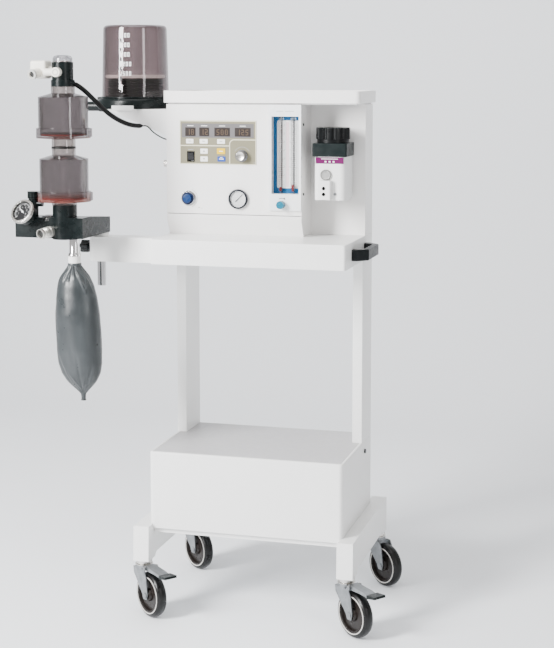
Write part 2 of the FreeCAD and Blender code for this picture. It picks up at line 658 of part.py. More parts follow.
def valve_head():
    """The black collar and head above the upper canister, with the cord's gland."""
    collar = rod((CANISTER_X, CANISTER_Y, UPPER_TOP), (0, 0, 1), 25.5, 14.5)
    head = rod((CANISTER_X, CANISTER_Y, 1185), (0, 0, 1), HEAD_RADIUS, 38.5)
    direction = toward(CORD_START, CORD_NEXT)
    back = V(*CORD_START).sub(V(direction).multiply(11))
    gland = Part.makeCylinder(6.5, 11, back, direction)
    cord_seat = Part.makeCylinder(COIL_DIAMETER / 2 + FIT, 30, V(*CORD_START), direction)
    return joined(collar, head, gland).cut(cord_seat)


def valve_caps():
    """The clear valve domes on the head and on the block."""
    def cap(x, y, z, radius, height):
        outer = [(radius, z), (radius, z + height * 0.55), (radius * 0.86, z + height * 0.85),
                 (radius * 0.5, z + height), (0, z + height)]
        inner = [(0, z + height - 2), (radius * 0.5, z + height - 2), (radius - 2.5, z + height * 0.5),
                 (radius - 2.5, z)]
        return turned(outer + inner, x, y)
    head_cap = cap(CANISTER_X, CANISTER_Y, 1223.5, 21, 15)
    block_cap = cap(CAP_SEAT[0], CAP_SEAT[1], BLOCK_TOP - 8, 15, 13)
    return side_by_side(head_cap, block_cap)


def sensor_block():
    """The white flow sensor housing with its angled port and the knuckle to the head."""
    housing = soft_box(-455, -418, -240, -204, 1188, 1227, 5)
    neck = rod((-420, CANISTER_Y, 1206), (1, 0, 0), 9, 12)
    knuckle = rod((-389, -240, 1202), (0, -1, 0), 10, 15)
    knuckle_root = rod((-420, -240, 1202), (1, 0, 0), 8, 31)
    port = rod((-436, -236, 1201), (-0.25, -0.95, -0.18), 10.5, 24)
    bore = rod((-436, -236, 1201), (-0.25, -0.95, -0.18), 6.5, 30)
    head = rod((CANISTER_X, CANISTER_Y, UPPER_TOP), (0, 0, 1), HEAD_RADIUS, 60)
    arm = joined(housing, neck, knuckle_root, knuckle)
    return arm.fuse(port).cut(bore).cut(head)


GAUGE_FACE = (-465.0, -272.0, 906.0)
GAUGE_NORMAL = (-0.22, -0.83, 0.51)
AIRWAY_RADIUS = 27.0


def tilted(shape, origin, normal):
    """Turns a shape modelled facing -Y so that it faces along a normal."""
    turn = FreeCAD.Rotation(V(0, -1, 0), V(*normal))
    moved = shape.copy()
    moved.Placement = FreeCAD.Placement(V(*origin), turn).multiply(moved.Placement)
    return moved


def airway_gauge():
    """The airway pressure gauge with its ridged bezel, tilted up on a stem."""
    bezel = rod((0, 0, 0), (0, 1, 0), AIRWAY_RADIUS, 9)
    bezel = rounded(bezel, 1.5, lambda edge: edge.BoundBox.YMax < 0.1)
    case = rod((0, 9, 0), (0, 1, 0), 24, 14)
    pocket = rod((0, -1, 0), (0, 1, 0), 23, 6)
    pivot = rod((0, 3.4, 0), (0, 1, 0), 0.9, 2)
    head = joined(bezel, case).cut(pocket).fuse(pivot)
    head = tilted(head, GAUGE_FACE, GAUGE_NORMAL)
    stem = rod((-474, -232, BLOCK_TOP), (0.02, -0.62, 0.5), 6, 18)
    foot = rod((-474, -232, BLOCK_TOP), (0, 0, 1), 8, 3)
    block = box(-494, -336, BLOCK_FRONT, -192, BLOCK_BOTTOM, BLOCK_TOP)
    column = rod((-459, -222, BLOCK_TOP - 1), (0, 0, 1), 11, 40)
    return joined(head, stem, foot).cut(block).cut(column)


def airway_needle():
    pointer = needle(17, 6, 2.2, 0.6, 2.4, 0.9 + FIT)
    pointer.rotate(V(0, 0, 0), Y_AXIS, -50)
    pointer.translate(V(0, 3.6, 0))
    return tilted(pointer, GAUGE_FACE, GAUGE_NORMAL)


HOSE_PORT = (-413.0, BLOCK_FRONT, 859.0)
HOSE_AXIS = (-0.36, -0.93, -0.1)
BAG_X = -365.5


def metal_ports():
    """The angled hose port on the block's front and the bag port under it."""
    start = (HOSE_PORT[0] + 2, HOSE_PORT[1] + 5, HOSE_PORT[2])
    base = rod(start, HOSE_AXIS, 12.3, 9)
    shoulder = rod(start, HOSE_AXIS, 11.6, 15.5)
    tube = rod(start, HOSE_AXIS, 11, 34)
    bore = rod(HOSE_PORT, HOSE_AXIS, 9.2, 40)
    root = box(-440, -386, BLOCK_FRONT, BLOCK_FRONT + 30, 840, 880)
    column = rod((CANISTER_X, CANISTER_Y, 840), (0, 0, 1), 27, 60)
    hose = joined(base, shoulder, tube).cut(root).cut(column).cut(bore)
    bag_port = turned([(9, 805), (14, 805), (14, 808), (11, 813), (11, BLOCK_BOTTOM - 3.2),
                       (9, BLOCK_BOTTOM - 3.2)], BAG_X, CANISTER_Y)
    return side_by_side(hose, bag_port)


def breathing_bag():
    """The rubber reservoir bag with its white neck ring and the tail nipple, as a plain solid."""
    neck = ring((BAG_X, CANISTER_Y, 789.5), (0, 0, 1), 13.5, 8, 15.5)
    # half width, half depth and centre shift to the right at each height
    sections = [(13.5, 13.5, 0.0, 789.5), (31, 26, 1, 765), (44, 36, 3, 722), (50, 42, 6, 665),
                (51.5, 44, 9, 600), (46, 38, 12, 548), (30, 22, 14.5, 520), (8, 7, 17, 500)]
    rings = []
    for half_x, half_y, shift, z in sections:
        radius_long = max(half_x, half_y + 0.01)
        curve = Part.Ellipse(V(BAG_X + shift, CANISTER_Y, z), radius_long, half_y)
        rings.append(Part.Wire([curve.toShape()]))
    bag = Part.makeLoft(rings, True, False)
    nipple = rod((BAG_X + 17, CANISTER_Y, 486), (0, 0, 1), 5, 14)
    return side_by_side(neck, bag, nipple)


# ------------------------------------------------------------ curly cord
COIL_ROUTE = [CORD_START, CORD_NEXT, (-338, -172, 1145), (-318, -131, 1110), (-297, -91, 1089),
              (-281, -62, 1082), (-271, -44, 1082)]
TAIL_ROUTE = [(-271, -44, 1082), (-264.2, -31.8, 1082), (-256, -17, 1066), (-243, 10, 1052),
              (-236, 40, 1046), (-226, 60, 1045)]


def routed_tube(route, diameter, label):
    """A round tube along straight runs joined by tangent arcs."""
    points = [V(*p) for p in route]
    edges = []
    start = points[0]
    for before, corner, after in zip(points, points[1:], points[2:]):
        into = corner.sub(before)
        out = after.sub(corner)
        half_turn = into.getAngle(out) / 2
        reach = 0.45 * min(into.Length, out.Length)
        print(label, "arc radius", round(reach / math.tan(half_turn), 1))
        into.normalize()
        out.normalize()
        arc_start = corner.sub(V(into).multiply(reach))
        arc_end = corner.add(V(out).multiply(reach))
        bulge = arc_start.add(arc_end).multiply(0.5)
        sag = corner.sub(bulge)
        depth = reach / math.tan(half_turn) / math.cos(half_turn) - reach / math.tan(half_turn)
        middle = corner.sub(sag.normalize().multiply(depth))
        edges.append(Part.LineSegment(start, arc_start).toShape())
        edges.append(Part.Arc(arc_start, middle, arc_end).toShape())
        start = arc_end
    edges.append(Part.LineSegment(start, points[-1]).toShape())
    spine = Part.Wire(edges)
    first = points[1].sub(points[0]).normalize()
    circle = Part.Wire([Part.Circle(points[0], first, diameter / 2).toShape()])
    tube = spine.makePipeShell([circle], True, False)
    ideal = math.pi * diameter ** 2 / 4 * spine.Length
    print(label, "length", round(spine.Length, 1), "volume ratio", round(tube.Volume / ideal, 4))
    return tube


# ------------------------------------------------------------ casters
def at_caster(shape, x, y):
    """Moves a shape made about the swivel axis, trail along +X, to its caster."""
    moved = shape.copy()
    moved.rotate(V(0, 0, 0), Z_AXIS, CASTER_TURN)
    moved.translate(V(x, y, 0))
    return moved


PEDAL_PIVOT = (26.0, 110.0)


def caster_fork(braked):
    """Swivel head, two cheeks, the wheel's axle bolt and, if braked, the pedal's ears."""
    head = ring((0, 0, 104), (0, 0, 1), 19, 6 + FIT, 10)
    race = ring((0, 0, 114), (0, 0, 1), 17, 6 + FIT, 3)
    upper = ring((0, 0, 117), (0, 0, 1), 18, 6 + FIT, FOOT_BOTTOM - 117 - 0.4)
    def cheek(y):
        profile = [(-18, y, 106), (26, y, 106), (34, y, 92), (CASTER_TRAIL + 10, y, 52),
                   (CASTER_TRAIL + 6, y, 41), (CASTER_TRAIL - 6, y, 41), (CASTER_TRAIL - 11, y, 52),
                   (-16, y, 92)]
        return prism(profile, (0, 2.5, 0))
    bridge = box(-18, 19.5, -17.5, 17.5, 103.5, 106)
    bridge = bridge.cut(rod((0, 0, 100), (0, 0, 1), 6 + FIT, 20))
    bolt = rod((CASTER_TRAIL, -15, 50), (0, 1, 0), 4, 30)
    cap = rod((CASTER_TRAIL, -19.5, 50), (0, 1, 0), 6.5, 4.5)
    nut = rod((CASTER_TRAIL, 15, 50), (0, 1, 0), 6.5, 4.5)
    frame = joined(head, race, upper, bridge, cheek(-17.5), cheek(15))
    whole = joined(frame, bolt, cap, nut)
    if not braked:
        return whole
    px, pz = PEDAL_PIVOT
    def ear(y):
        profile = [(px - 6, y, 104), (px + 2, y, 104), (px + 5, y, pz), (px + 3, y, pz + 4), (px - 3, y, pz + 4)]
        return prism(profile, (0, 2.5, 0))
    pin_hole = rod((px, -20, pz), (0, 1, 0), 2.5 + FIT, 40)
    return joined(whole, ear(-17.5), ear(15)).cut(pin_hole)


def wheel():
    """A solid tyre on a moulded hub, about the axle line."""
    half = TYRE_WIDTH / 2
    def spun(profile):
        points = [V(CASTER_TRAIL + r, y, 50) for r, y in profile]
        face = Part.Face(Part.makePolygon(points + [points[0]]))
        return face.revolve(V(CASTER_TRAIL, 0, 50), Y_AXIS, 360)
    r = WHEEL_RADIUS
    tyre = spun([(38, -half + 1), (r - 7, -half), (r - 2, -half + 3), (r, -half + 8), (r, half - 8),
                 (r - 2, half - 3), (r - 7, half), (38, half - 1)])
    hub = spun([(4 + FIT, -13.5), (10, -13.5), (12, -6), (33, -5), (35, -half + 1), (38, -half + 1),
                (38, half - 1), (35, half - 1), (33, 5), (12, 6), (10, 13.5), (4 + FIT, 13.5)])
    return side_by_side(tyre, hub)


def brake_pedal():
    """The toe pedal of a braked caster, hinged at the front of the fork's head."""
    px, pz = PEDAL_PIVOT
    arm = prism([(px - 4, -12.5, pz - 5), (px - 4, -12.5, pz + 5), (70, -12.5, pz + 1), (84, -12.5, pz - 2),
                 (84, -12.5, pz - 7), (60, -12.5, pz - 5)], (0, 25, 0))
    pin = rod((px, -17.5, pz), (0, 1, 0), 2.5, 35)
    toe = prism([(84, -15, pz - 8), (84, -15, pz), (110, -15, pz + 2), (111, -15, pz - 3)], (0, 30, 0))
    return side_by_side(joined(arm, pin), toe)


def fasteners():
    """Caster stems, alcove screws, panel screws, rear plugs and the cord's grommet."""
    pieces = []
    for x in (-CASTER_X, CASTER_X):
        for y in (-CASTER_Y, CASTER_Y):
            stem = rod((x, y, 101), (0, 0, 1), 6, FOOT_BOTTOM + 26 - 101)
            nut = rod((x, y, 98.5), (0, 0, 1), 9, 2.5)
            pieces.append(stem.fuse(nut))
    for z in (933.0, 1087.0):
        pieces.append(rod((CABINET_RIGHT, -14, z), (1, 0, 0), 3.2, 1.6))
    pieces.append(rod((HALF_WIDTH, 65, 341), (1, 0, 0), 5, 3))
    pieces.append(rod((HALF_WIDTH - 9, BACK, 343), (0, 1, 0), 5, 6))
    pieces.append(ring((-HALF_WIDTH - 6, 60, 1045), (1, 0, 0), 7, 3.8, 6))
    pieces.append(rod((-HALF_WIDTH - 10, -14, 996), (1, 0, 0), 8, 10))
    return side_by_side(*pieces)


# ------------------------------------------------------------ all the nodes
parts["left_leg"] = leg(-1)
parts["right_leg"] = leg(1)
parts["cross_rails"] = chassis()
parts["base_cover"] = base_cover()
parts["base_top_panel"] = base_top_panel()
parts["rear_covers"] = rear_covers()
parts["left_post"] = post(-1)
parts["right_post"] = post(1)
parts["worktop"] = worktop()
parts["side_handle"] = side_handle()
parts["cabinet_shell"] = cabinet_shell()
parts["front_panel"] = front_panel()
parts["top_shelf"] = top_shelf()
parts["control_overlay"] = control_overlay()
parts["rocker_switch"] = rocker_switch()
parts["selector_knob"] = selector_knob()
parts["flush_button"] = flush_button()
parts["panel_gauge"] = panel_gauge()
parts["gauge_needle"] = gauge_needle()
parts["flowmeter_frame"] = flowmeter_frame()
parts["flow_tubes"] = flow_tubes()
parts["flow_floats"] = flow_floats()
parts["flow_knob"] = flow_knob()
parts["vaporizer_head"] = vaporizer_head()
parts["vaporizer_dial"] = vaporizer_dial()
parts["vaporizer_body"] = vaporizer_body()
parts["bellows_bracket"] = bellows_bracket()
parts["bellows_base"] = bellows_base()
parts["bellows_dome"] = bellows_dome()
parts["bellows_disc"] = bellows_disc()
parts["bellows_pleats"] = bellows_pleats()
parts["internal_modules"] = internal_modules()
parts["arm_beam"] = arm_beam()
parts["clamp_knob"] = clamp_knob()
parts["arm_post"] = arm_post()
parts["absorber_block"] = absorber_block()
parts["apl_knob"] = apl_knob()
parts["lower_canister"] = lower_canister()
parts["upper_canister"] = upper_canister()
parts["canister_seals"] = canister_seals()
parts["valve_head"] = valve_head()
parts["valve_caps"] = valve_caps()
parts["sensor_block"] = sensor_block()
parts["airway_gauge"] = airway_gauge()
parts["airway_needle"] = airway_needle()
parts["metal_ports"] = metal_ports()
parts["breathing_bag"] = breathing_bag()
parts["cord_coil"] = routed_tube(COIL_ROUTE, COIL_DIAMETER, "cord_coil")
parts["cord_tail"] = routed_tube(TAIL_ROUTE, TAIL_DIAMETER, "cord_tail")
parts["fasteners"] = fasteners()

CASTERS = {"front_left": (-CASTER_X, -CASTER_Y), "front_right": (CASTER_X, -CASTER_Y),
           "rear_left": (-CASTER_X, CASTER_Y), "rear_right": (CASTER_X, CASTER_Y)}
for name, (x, y) in CASTERS.items():
    parts[name + "_fork"] = at_caster(caster_fork(name.startswith("front")), x, y)
    parts[name + "_wheel"] = at_caster(wheel(), x, y)
    if name.startswith("front"):
        parts[name + "_pedal"] = at_caster(brake_pedal(), x, y)

# ------------------------------------------------------------ shared step and files
CORD_NODES = ("cord_coil", "cord_tail")
whole = Part.makeCompound([shape for name, shape in parts.items() if name not in CORD_NODES]).BoundBox
STEP = V(-whole.Center.x, -whole.Center.y, -whole.ZMin)

os.makedirs("parts", exist_ok=True)
for name, shape in parts.items():
    placed = shape.copy()
    placed.translate(STEP)
    placed.exportStep("parts/" + name + ".step")
print("nodes", len(parts), "step", [round(value, 3) for value in STEP])
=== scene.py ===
import json
import math

import bmesh
import bpy
import numpy as np
from mathutils import Matrix, Vector, noise


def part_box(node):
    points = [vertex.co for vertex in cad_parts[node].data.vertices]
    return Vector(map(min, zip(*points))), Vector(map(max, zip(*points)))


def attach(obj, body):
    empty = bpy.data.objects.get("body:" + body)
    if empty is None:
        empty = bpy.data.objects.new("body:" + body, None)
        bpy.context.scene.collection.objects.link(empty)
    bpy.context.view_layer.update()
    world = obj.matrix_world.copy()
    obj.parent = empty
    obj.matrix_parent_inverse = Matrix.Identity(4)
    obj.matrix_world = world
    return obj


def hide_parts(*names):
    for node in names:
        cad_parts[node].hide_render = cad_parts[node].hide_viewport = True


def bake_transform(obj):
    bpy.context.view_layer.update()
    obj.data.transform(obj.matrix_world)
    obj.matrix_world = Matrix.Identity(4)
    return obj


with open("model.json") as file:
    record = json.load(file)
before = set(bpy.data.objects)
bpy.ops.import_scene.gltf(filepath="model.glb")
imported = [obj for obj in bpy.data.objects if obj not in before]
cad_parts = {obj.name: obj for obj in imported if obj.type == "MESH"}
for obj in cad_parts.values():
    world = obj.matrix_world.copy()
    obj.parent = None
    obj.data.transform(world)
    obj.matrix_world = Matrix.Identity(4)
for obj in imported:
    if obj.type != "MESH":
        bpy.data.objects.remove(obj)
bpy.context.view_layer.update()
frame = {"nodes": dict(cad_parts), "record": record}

# ------------------------------------------------------------ the machine's own axes
# Lengths below are in millimetres from the trolley's centre line (x), from 134.5 mm in
# front of the worktop's rear edge (y) and from the floor (z).
MM = 0.001
BACK = 134.5
worktop_low, worktop_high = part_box("worktop")
X0 = (worktop_low.x + worktop_high.x) / 2
Y0 = worktop_high.y - BACK * MM

BODY_OF = {node: body for body, nodes in frame["record"]["behaviour"]["bodies"].items() for node in nodes}


def at(x, y, z):
    """A place on the machine, as a point of the row frame in metres."""
    return Vector((X0 + x * MM, Y0 + y * MM, z * MM))


def local(point):
    """The same, backwards: millimetres on the machine."""
    return (point[0] - X0) / MM, (point[1] - Y0) / MM, point[2] / MM


# ------------------------------------------------------------ camera
CAMERA_AT = (904.0, -3186.4, 1199.8)
CAMERA_YAW = 15.331
CAMERA_PITCH = -5.917
camera_data = bpy.data.cameras.new("camera")
camera_data.lens = 82.34
camera_data.sensor_width = 36.0
camera_data.shift_y = -0.15
camera = bpy.data.objects.new("camera", camera_data)
camera.location = at(*CAMERA_AT)
camera.rotation_euler = (math.radians(90 + CAMERA_PITCH), 0, math.radians(CAMERA_YAW))
bpy.context.scene.collection.objects.link(camera)
bpy.context.scene.camera = camera


# ------------------------------------------------------------ materials
class Nodes:
    """A material's node tree with short ways to add to it."""

    def __init__(self, name):
        self.material = bpy.data.materials.new(name)
        self.material.use_nodes = True
        self.tree = self.material.node_tree
        self.tree.nodes.clear()
        self.output = self.tree.nodes.new("ShaderNodeOutputMaterial")
        self.place = self.tree.nodes.new("ShaderNodeTexCoord").outputs["Object"]

    def add(self, kind, **values):
        node = self.tree.nodes.new(kind)
        for name, value in values.items():
            if name in node.inputs:
                node.inputs[name].default_value = value
            else:
                setattr(node, name, value)
        return node

    def link(self, source, target):
        self.tree.links.new(source, target)

    def noise(self, scale, detail=3.0, stretch=None):
        node = self.add("ShaderNodeTexNoise", Scale=scale, Detail=detail)
        where = self.place
        if stretch:
            mapping = self.add("ShaderNodeMapping", Scale=stretch)
            self.link(self.place, mapping.inputs["Vector"])
            where = mapping.outputs["Vector"]
        self.link(where, node.inputs["Vector"])
        return node.outputs["Fac"]

    def between(self, fac, low, high):
        node = self.add("ShaderNodeMapRange")
        node.inputs["From Min"].default_value = 0.3
        node.inputs["From Max"].default_value = 0.7
        node.inputs["To Min"].default_value = low
        node.inputs["To Max"].default_value = high
        self.link(fac, node.inputs["Value"])
        return node.outputs["Result"]

    def blend(self, fac, first, second):
        node = self.add("ShaderNodeMix", data_type="RGBA")
        node.inputs[6].default_value = (*first, 1)
        node.inputs[7].default_value = (*second, 1)
        self.link(fac, node.inputs["Factor"])
        return node.outputs[2]


def shade(colour, factor):
    return tuple(min(1.0, channel * factor) for channel in colour)


def surface(name, colour, rough, metal=0.0, grain=900.0, bump=0.08, mottle=0.05, patch=14.0, coat=0.0,
            brushed=None, second=None, shine=0.5, glow=0.0):
    """A solid finish: patchy colour, uneven gloss and a fine raised grain; glow, where set, is painted light in
    its own colour.
    """
    n = Nodes(name)
    shader = n.add("ShaderNodeBsdfPrincipled", Metallic=metal)
    shader.inputs["Specular IOR Level"].default_value = shine
    shader.inputs["Emission Color"].default_value = (*colour, 1)
    shader.inputs["Emission Strength"].default_value = glow
    if coat:
        shader.inputs["Coat Weight"].default_value = coat
        shader.inputs["Coat Roughness"].default_value = 0.12
    patches = n.noise(patch, 4.0)
    n.link(n.blend(n.between(patches, 0, 1), shade(colour, 1 - mottle), second or shade(colour, 1 + mottle)),
           shader.inputs["Base Color"])
    n.link(n.between(n.noise(patch * 6, 3.0, brushed), max(0.02, rough - 0.07), rough + 0.07),
           shader.inputs["Roughness"])
    raised = n.add("ShaderNodeBump", Strength=bump, Distance=0.0004)
    n.link(n.noise(grain, 2.0, brushed), raised.inputs["Height"])
    n.link(raised.outputs["Normal"], shader.inputs["Normal"])
    n.link(shader.outputs["BSDF"], n.output.inputs["Surface"])
    return n.material


def clear(name, tint, edge_tint, haze=0.03, rough=0.05, haze_colour=(0.5, 0.5, 0.5), shine=0.42):
    """Clear plastic: light passes straight through, tinted deeper at the edges and streaked up and down with
    painted reflections, under a gloss and a haze.
    """
    n = Nodes(name)
    facing = n.add("ShaderNodeLayerWeight", Blend=0.5).outputs["Facing"]
    steep = n.add("ShaderNodeMath", operation="POWER")
    steep.inputs[1].default_value = 3.0
    n.link(facing, steep.inputs[0])
    window = n.add("ShaderNodeBsdfTransparent")
    # Painted reflections: vertical streaks that darken and lighten the tint, standing in for dark surroundings
    # mirrored in the plastic.
    lines = n.between(n.noise(75, 3.0, (1, 1, 0.02)), 0, 1)
    tint_with_painted_streaks = n.add("ShaderNodeMix", data_type="RGBA")
    n.link(steep.outputs["Value"], tint_with_painted_streaks.inputs["Factor"])
    n.link(n.blend(lines, shade(tint, 0.90), shade(tint, 1.04)), tint_with_painted_streaks.inputs[6])
    tint_with_painted_streaks.inputs[7].default_value = (*edge_tint, 1)
    n.link(tint_with_painted_streaks.outputs[2], window.inputs["Color"])
    body = n.add("ShaderNodeBsdfPrincipled", Roughness=0.35)
    streaks = n.noise(30, 2.0, (1, 1, 0.15))
    n.link(n.blend(n.between(streaks, 0, 1), shade(haze_colour, 0.8), shade(haze_colour, 1.2)),
           body.inputs["Base Color"])
    cloudy = n.add("ShaderNodeMixShader", Fac=haze)
    n.link(window.outputs["BSDF"], cloudy.inputs[1])
    n.link(body.outputs["BSDF"], cloudy.inputs[2])
    gloss = n.add("ShaderNodeBsdfGlossy", Roughness=rough, Color=(0.95, 0.95, 0.96, 1))
    mirror = n.add("ShaderNodeMath", operation="MULTIPLY_ADD")
    mirror.inputs[1].default_value = shine
    mirror.inputs[2].default_value = 0.04 if shine > 0.3 else 0.012
    n.link(steep.outputs["Value"], mirror.inputs[0])
    mixed = n.add("ShaderNodeMixShader")
    n.link(mirror.outputs["Value"], mixed.inputs["Fac"])
    n.link(cloudy.outputs["Shader"], mixed.inputs[1])
    n.link(gloss.outputs["BSDF"], mixed.inputs[2])
    n.link(mixed.outputs["Shader"], n.output.inputs["Surface"])
    return n.material


WHITE = (0.80, 0.80, 0.79)
white_paint = surface("white_paint", WHITE, 0.38, bump=0.10, mottle=0.012, coat=0.15)
grey_panel = surface("grey_panel", (0.448, 0.440, 0.448), 0.42, bump=0.12, mottle=0.02)
panel_paint = surface("panel_paint", (0.82, 0.81, 0.80), 0.36, bump=0.08, mottle=0.012, coat=0.15)
film = surface("keypad_film", (0.195, 0.180, 0.120), 0.42, grain=1500, bump=0.05, mottle=0.03, shine=0.25)
film_cream = surface("film_cream", (0.64, 0.61, 0.46), 0.42, grain=1500, bump=0.05, mottle=0.02, shine=0.25)
film_lilac = surface("film_lilac", (0.125, 0.118, 0.120), 0.40, grain=1500, bump=0.05, mottle=0.03,
                     shine=0.25)
key_white = surface("key_white", (0.83, 0.83, 0.80), 0.40, bump=0.05, mottle=0.02)
key_yellow = surface("key_yellow", (0.72, 0.46, 0.0), 0.42, bump=0.05, mottle=0.03, shine=0.15)
key_blue = surface("key_blue", (0.022, 0.062, 0.30), 0.42, bump=0.05, mottle=0.03, shine=0.15)
window_dark = surface("display_window", (0.034, 0.028, 0.026), 0.20, bump=0.02, mottle=0.08, shine=0.25)
digit_amber = surface("display_digit", (0.085, 0.055, 0.035), 0.40, bump=0.02, mottle=0.10, shine=0.2)
ink_dark = surface("ink_dark", (0.03, 0.03, 0.035), 0.5, bump=0.02)
ink_grey = surface("ink_grey", (0.30, 0.30, 0.30), 0.5, bump=0.02)
ink_red = surface("ink_red", (0.45, 0.16, 0.12), 0.5, bump=0.02)
ink_white = surface("ink_white", (0.86, 0.86, 0.86), 0.5, bump=0.02, mottle=0.02)
ink_pink = surface("ink_pink", (0.80, 0.62, 0.66), 0.5, bump=0.02, mottle=0.02)
scale_blue = surface("scale_blue", (0.004, 0.105, 0.27), 0.35, bump=0.03, mottle=0.10, shine=0.2)
label_purple = surface("label_purple", (0.105, 0.003, 0.068), 0.42, bump=0.03, mottle=0.06, shine=0.2)
switch_black = surface("switch_black", (0.005, 0.005, 0.006), 0.24, bump=0.03, shine=0.3)
moulded_black = surface("moulded_black", (0.0022, 0.0048, 0.0050), 0.30, grain=1300, bump=0.12, mottle=0.25,
                        shine=0.22)
handle_black = surface("handle_black", (0.003, 0.0045, 0.006), 0.38, grain=1500, bump=0.18, mottle=0.25,
                       shine=0.22)
dial_black = surface("dial_black", (0.0022, 0.0028, 0.0032), 0.32, grain=1300, bump=0.14, mottle=0.2,
                     shine=0.2)
vapor_slate = surface("vapor_slate", (0.0042, 0.0088, 0.0090), 0.36, grain=1300, bump=0.14, mottle=0.15,
                      shine=0.18)
bezel_black = surface("gauge_bezel", (0.004, 0.006, 0.012), 0.22, bump=0.04, shine=0.35)
dial_white = surface("dial_white", (0.80, 0.81, 0.82), 0.35, bump=0.02, mottle=0.02)
dial_dark = surface("dial_dark", (0.008, 0.008, 0.009), 0.40, bump=0.02, shine=0.2)
needle_paint = surface("needle_paint", (0.02, 0.02, 0.02), 0.4, bump=0.02)
needle_white = surface("needle_white", (0.85, 0.85, 0.85), 0.4, bump=0.02)
flush_blue = surface("flush_blue", (0.001, 0.022, 0.095), 0.24, bump=0.04, mottle=0.2, shine=0.4)
knob_blue = surface("knob_blue", (0.0, 0.125, 0.20), 0.26, bump=0.04, mottle=0.1, shine=0.4)
float_red = surface("float_red", (0.17, 0.0, 0.008), 0.35, bump=0.03, shine=0.3)
chrome = surface("chrome", (0.78, 0.78, 0.79), 0.11, metal=1.0, bump=0.02, mottle=0.02)
satin_steel = surface("satin_steel", (0.62, 0.60, 0.57), 0.26, metal=1.0, grain=500, bump=0.08,
                      brushed=(1, 1, 12))
zinc = surface("zinc_fork", (0.24, 0.25, 0.26), 0.34, metal=0.85, grain=700, bump=0.12, mottle=0.14, patch=60)
module_steel = surface("module_steel", (0.45, 0.46, 0.47), 0.40, metal=1.0, grain=500, bump=0.08)
tyre_black = surface("tyre_black", (0.0028, 0.0028, 0.003), 0.32, grain=1200, bump=0.10, mottle=0.3,
                     shine=0.3)
hub_brown = surface("wheel_hub", (0.013, 0.010, 0.009), 0.32, grain=1200, bump=0.12, mottle=0.2, shine=0.3)
ring_light = surface("wheel_ring", (0.60, 0.58, 0.55), 0.4, bump=0.05, mottle=0.05)
# The riding disc's finish glows in its own colour: painted light that makes the disc brighter than its lighting
# does.
ivory_painted_glow = surface("disc_ivory", (0.92, 0.90, 0.85), 0.34, bump=0.04, mottle=0.03, glow=0.9)
pleat_rubber = surface("bellows_rubber", (0.0022, 0.003, 0.003), 0.34, grain=900, bump=0.15, mottle=0.2,
                       shine=0.2)
seal_pink = surface("seal_pink", (0.50, 0.06, 0.04), 0.38, bump=0.06, mottle=0.12, shine=0.3)
seal_black = surface("seal_black", (0.004, 0.004, 0.004), 0.38, bump=0.06, mottle=0.12, shine=0.3)
sensor_white = surface("sensor_white", (0.74, 0.71, 0.64), 0.40, grain=1200, bump=0.10, mottle=0.03)
cuff_white = surface("cuff_white", (0.80, 0.79, 0.77), 0.42, bump=0.08, mottle=0.03)
# A flat near-black finish for the insides of holes and ports: painted shade where their bores lie in shadow.
hole_painted_shade = surface("hole_painted_shade", (0.008, 0.008, 0.008), 0.6, bump=0.05)
cord_black = surface("cord_black", (0.003, 0.003, 0.0035), 0.34, grain=1500, bump=0.1, mottle=0.2, shine=0.25)
smoky = clear("smoky_clear", (0.585, 0.560, 0.565), (0.10, 0.07, 0.07), haze_colour=(0.20, 0.17, 0.17))
dome_smoke = clear("dome_smoke", (0.640, 0.585, 0.590), (0.14, 0.10, 0.10), haze=0.015,
                   haze_colour=(0.20, 0.17, 0.17))
smoky_neck = clear("smoky_neck", (0.76, 0.735, 0.725), (0.12, 0.10, 0.10), haze_colour=(0.25, 0.23, 0.23))
flange_pink = clear("flange_pink", (0.60, 0.40, 0.36), (0.12, 0.045, 0.035), haze=0.14,
                    haze_colour=(0.36, 0.06, 0.045))
clear_cap = clear("clear_cap", (0.88, 0.88, 0.89), (0.14, 0.14, 0.15), haze=0.05)
tube_glass = clear("flow_glass", (0.985, 0.99, 0.99), (0.66, 0.70, 0.72), haze=0.0, rough=0.03)
cover_glass = clear("flow_cover", (0.995, 0.997, 0.997), (0.95, 0.96, 0.97), haze=0.0, rough=0.03, shine=0.15)


def bag_finish():
    """Dusted antistatic rubber: slate grey, chalky on the ridges, with a fine pebble."""
    n = Nodes("bag_rubber")
    shader = n.add("ShaderNodeBsdfPrincipled")
    chalk = n.noise(26, 5.0, (1, 1, 0.35))
    n.link(n.blend(n.between(chalk, 0, 1), (0.018, 0.022, 0.024), (0.038, 0.044, 0.047)),
           shader.inputs["Base Color"])
    n.link(n.between(n.noise(60, 4.0), 0.27, 0.42), shader.inputs["Roughness"])
    pebble = n.add("ShaderNodeBump", Strength=0.16, Distance=0.0005)
    n.link(n.noise(800, 2.0), pebble.inputs["Height"])
    drape = n.add("ShaderNodeBump", Strength=0.22, Distance=0.003)
    n.link(n.noise(38, 3.0, (1, 1, 0.3)), drape.inputs["Height"])
    n.link(pebble.outputs["Normal"], drape.inputs["Normal"])
    n.link(drape.outputs["Normal"], shader.inputs["Normal"])
    n.link(shader.outputs["BSDF"], n.output.inputs["Surface"])
    return n.material


bag_rubber = bag_finish()


# ------------------------------------------------------------ mesh helpers
SMOOTH_ANGLE = math.radians(38)


